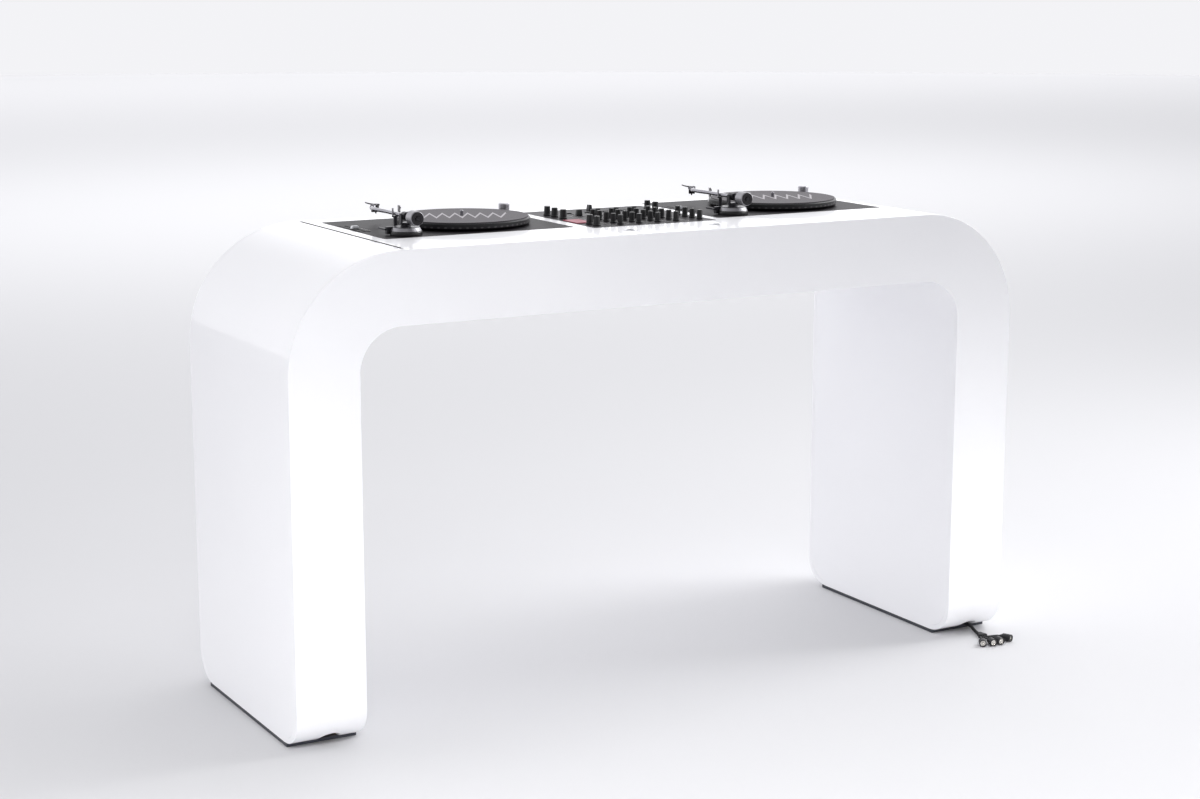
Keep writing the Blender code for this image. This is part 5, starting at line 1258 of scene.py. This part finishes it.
# %% Mixer: details on the faceplate
window_section = rounded([(0.004, 0.0001), (0, 0.0001), (0, 0.0018), (0.004, 0.0018)], 0.0003)
window = slab(0.040, 0.068, 0.002, window_section, 4)
cue_button = cap_of((0.012, 0.007), 0.0022, -0.0001, 0.0003)
channel_line = block((0.0007, 0.262, 0.0002), 0.00005)
details = [(moved(window, (LEFT_COLUMN, -0.052, 0)), display_glass)]
for x in CHANNELS:
    for side in (-1, 1):
        details += scale_strokes(x + side * 0.0105, FADER_Y + np.linspace(-0.030, 0.030, 11))
    details.append((moved(cue_button, (x, CUE_Y, 0)), black_abs))
for x in (*CHANNELS, CHANNELS[-1] + CHANNEL):
    details.append((moved(channel_line, (x - CHANNEL / 2, -0.026, 0)), print_white))
piece("mixer_details", "booth", on_mixer(details))
print("thin details:", len(details))

# %% [markdown]
# ## Studio
#
# The booth stands on a wide sheet of matt pale paper. It is round, 34 m in radius, with its middle below the
# camera, so that its far edge is level in the picture, and beyond it the camera sees a plain sky of the same
# tone. For everything else the sky is brighter on three sides, which puts soft bands into the lacquer: most
# on the audience's right, less on the DJ's side, least on the left. Two large lamps at the right throw the
# shadows to the left, a wide one overhead whitens the worktop, two small low ones reach under the front, one
# lights the floor before it, and two wide ones behind light the far floor.


# %% Studio
def lamp(name, place, target, size, power, spread=180.0):
    """A rectangular area lamp at a place, facing a target; power in watts, spread in degrees."""
    light = bpy.data.lights.new(name, "AREA")
    light.shape, light.size, light.size_y = "RECTANGLE", *size
    light.energy, light.spread = power, math.radians(spread)
    holder = bpy.data.objects.new(name, light)
    holder.location = place
    holder.rotation_euler = (Vector(target) - Vector(place)).to_track_quat("-Z", "Y").to_euler()
    bpy.context.scene.collection.objects.link(holder)


PAPER_RADIUS, PAPER_MIDDLE = 34, (-2.5, -4.6)
rim = level(circle(PAPER_RADIUS, 256) + PAPER_MIDDLE, 0.0)
floor_mesh = bpy.data.meshes.new("floor")
floor_mesh.from_pydata(rim.tolist(), [], [tuple(range(len(rim)))])
# Matt pale paper: no highlight, and a tooth of 3 mm.
floor_mesh.materials.append(grain(finish("matt_pale_paper", "#d7d7d9", 0.9), 3, 0.00005))
floor = bpy.data.objects.new("floor", floor_mesh)
bpy.context.scene.collection.objects.link(floor)
print(f"paper: {2 * PAPER_RADIUS} m across")

# %% Sky and lamps
SEEN_SKY = 0.94
world = bpy.data.worlds.new("studio")
bpy.context.scene.world = world
world.use_nodes = True
tree = world.node_tree
towards = add(tree, "ShaderNodeTexCoord").outputs["Generated"]
way = add(tree, "ShaderNodeSeparateXYZ", {"Vector": towards}).outputs
strength = 0.0
for axis, side, full in (("X", 1, 1.62), ("X", -1, 0.86), ("Y", 1, 1.41)):
    facing = {"Value": way[axis], "From Max": float(side), "To Max": full}
    strength = maths(tree, "ADD", strength, add(tree, "ShaderNodeMapRange", facing).outputs["Result"])
seen = {"Factor": add(tree, "ShaderNodeLightPath").outputs["Is Camera Ray"], "A": strength, "B": SEEN_SKY}
sky = tree.nodes["Background"]
sky.inputs["Color"].default_value = linear("#fafafd")
tree.links.new(add(tree, "ShaderNodeMix", seen, data_type="FLOAT").outputs["Result"], sky.inputs["Strength"])
bpy.context.scene.view_settings.view_transform = "Standard"
lamp("key", (3.6, -0.4, 3.0), (0, 0, 0.5), (1.6, 1.6), 55)
lamp("key_far", (5.5, -0.2, 4.2), (0, 0, 0.3), (2.4, 2.4), 51)
lamp("front_left", (-2.6, -2.8, 0.25), (-0.9, -0.2, 0.3), (1.2, 0.4), 4.1, spread=60)
lamp("front_right", (1.0, -2.6, 0.12), (0.85, -0.3, 0.2), (1.2, 0.2), 1.22, spread=40)
lamp("front_floor", (-1.4, -3.4, 3.2), (-1.0, -2.0, 0), (2.0, 1.4), 19.3, spread=70)
lamp("overhead", (0.6, 0.2, 4.5), (0.4, 0.1, 0), (2.6, 2.6), 25)
lamp("behind", (4.5, 8.8, 7.4), (4.5, 9.3, 0), (11, 6), 180, spread=105)
lamp("background", (13, 24, 16), (13, 26, 0), (38, 16), 1450, spread=120)
print("lamps:", len(bpy.data.lights))
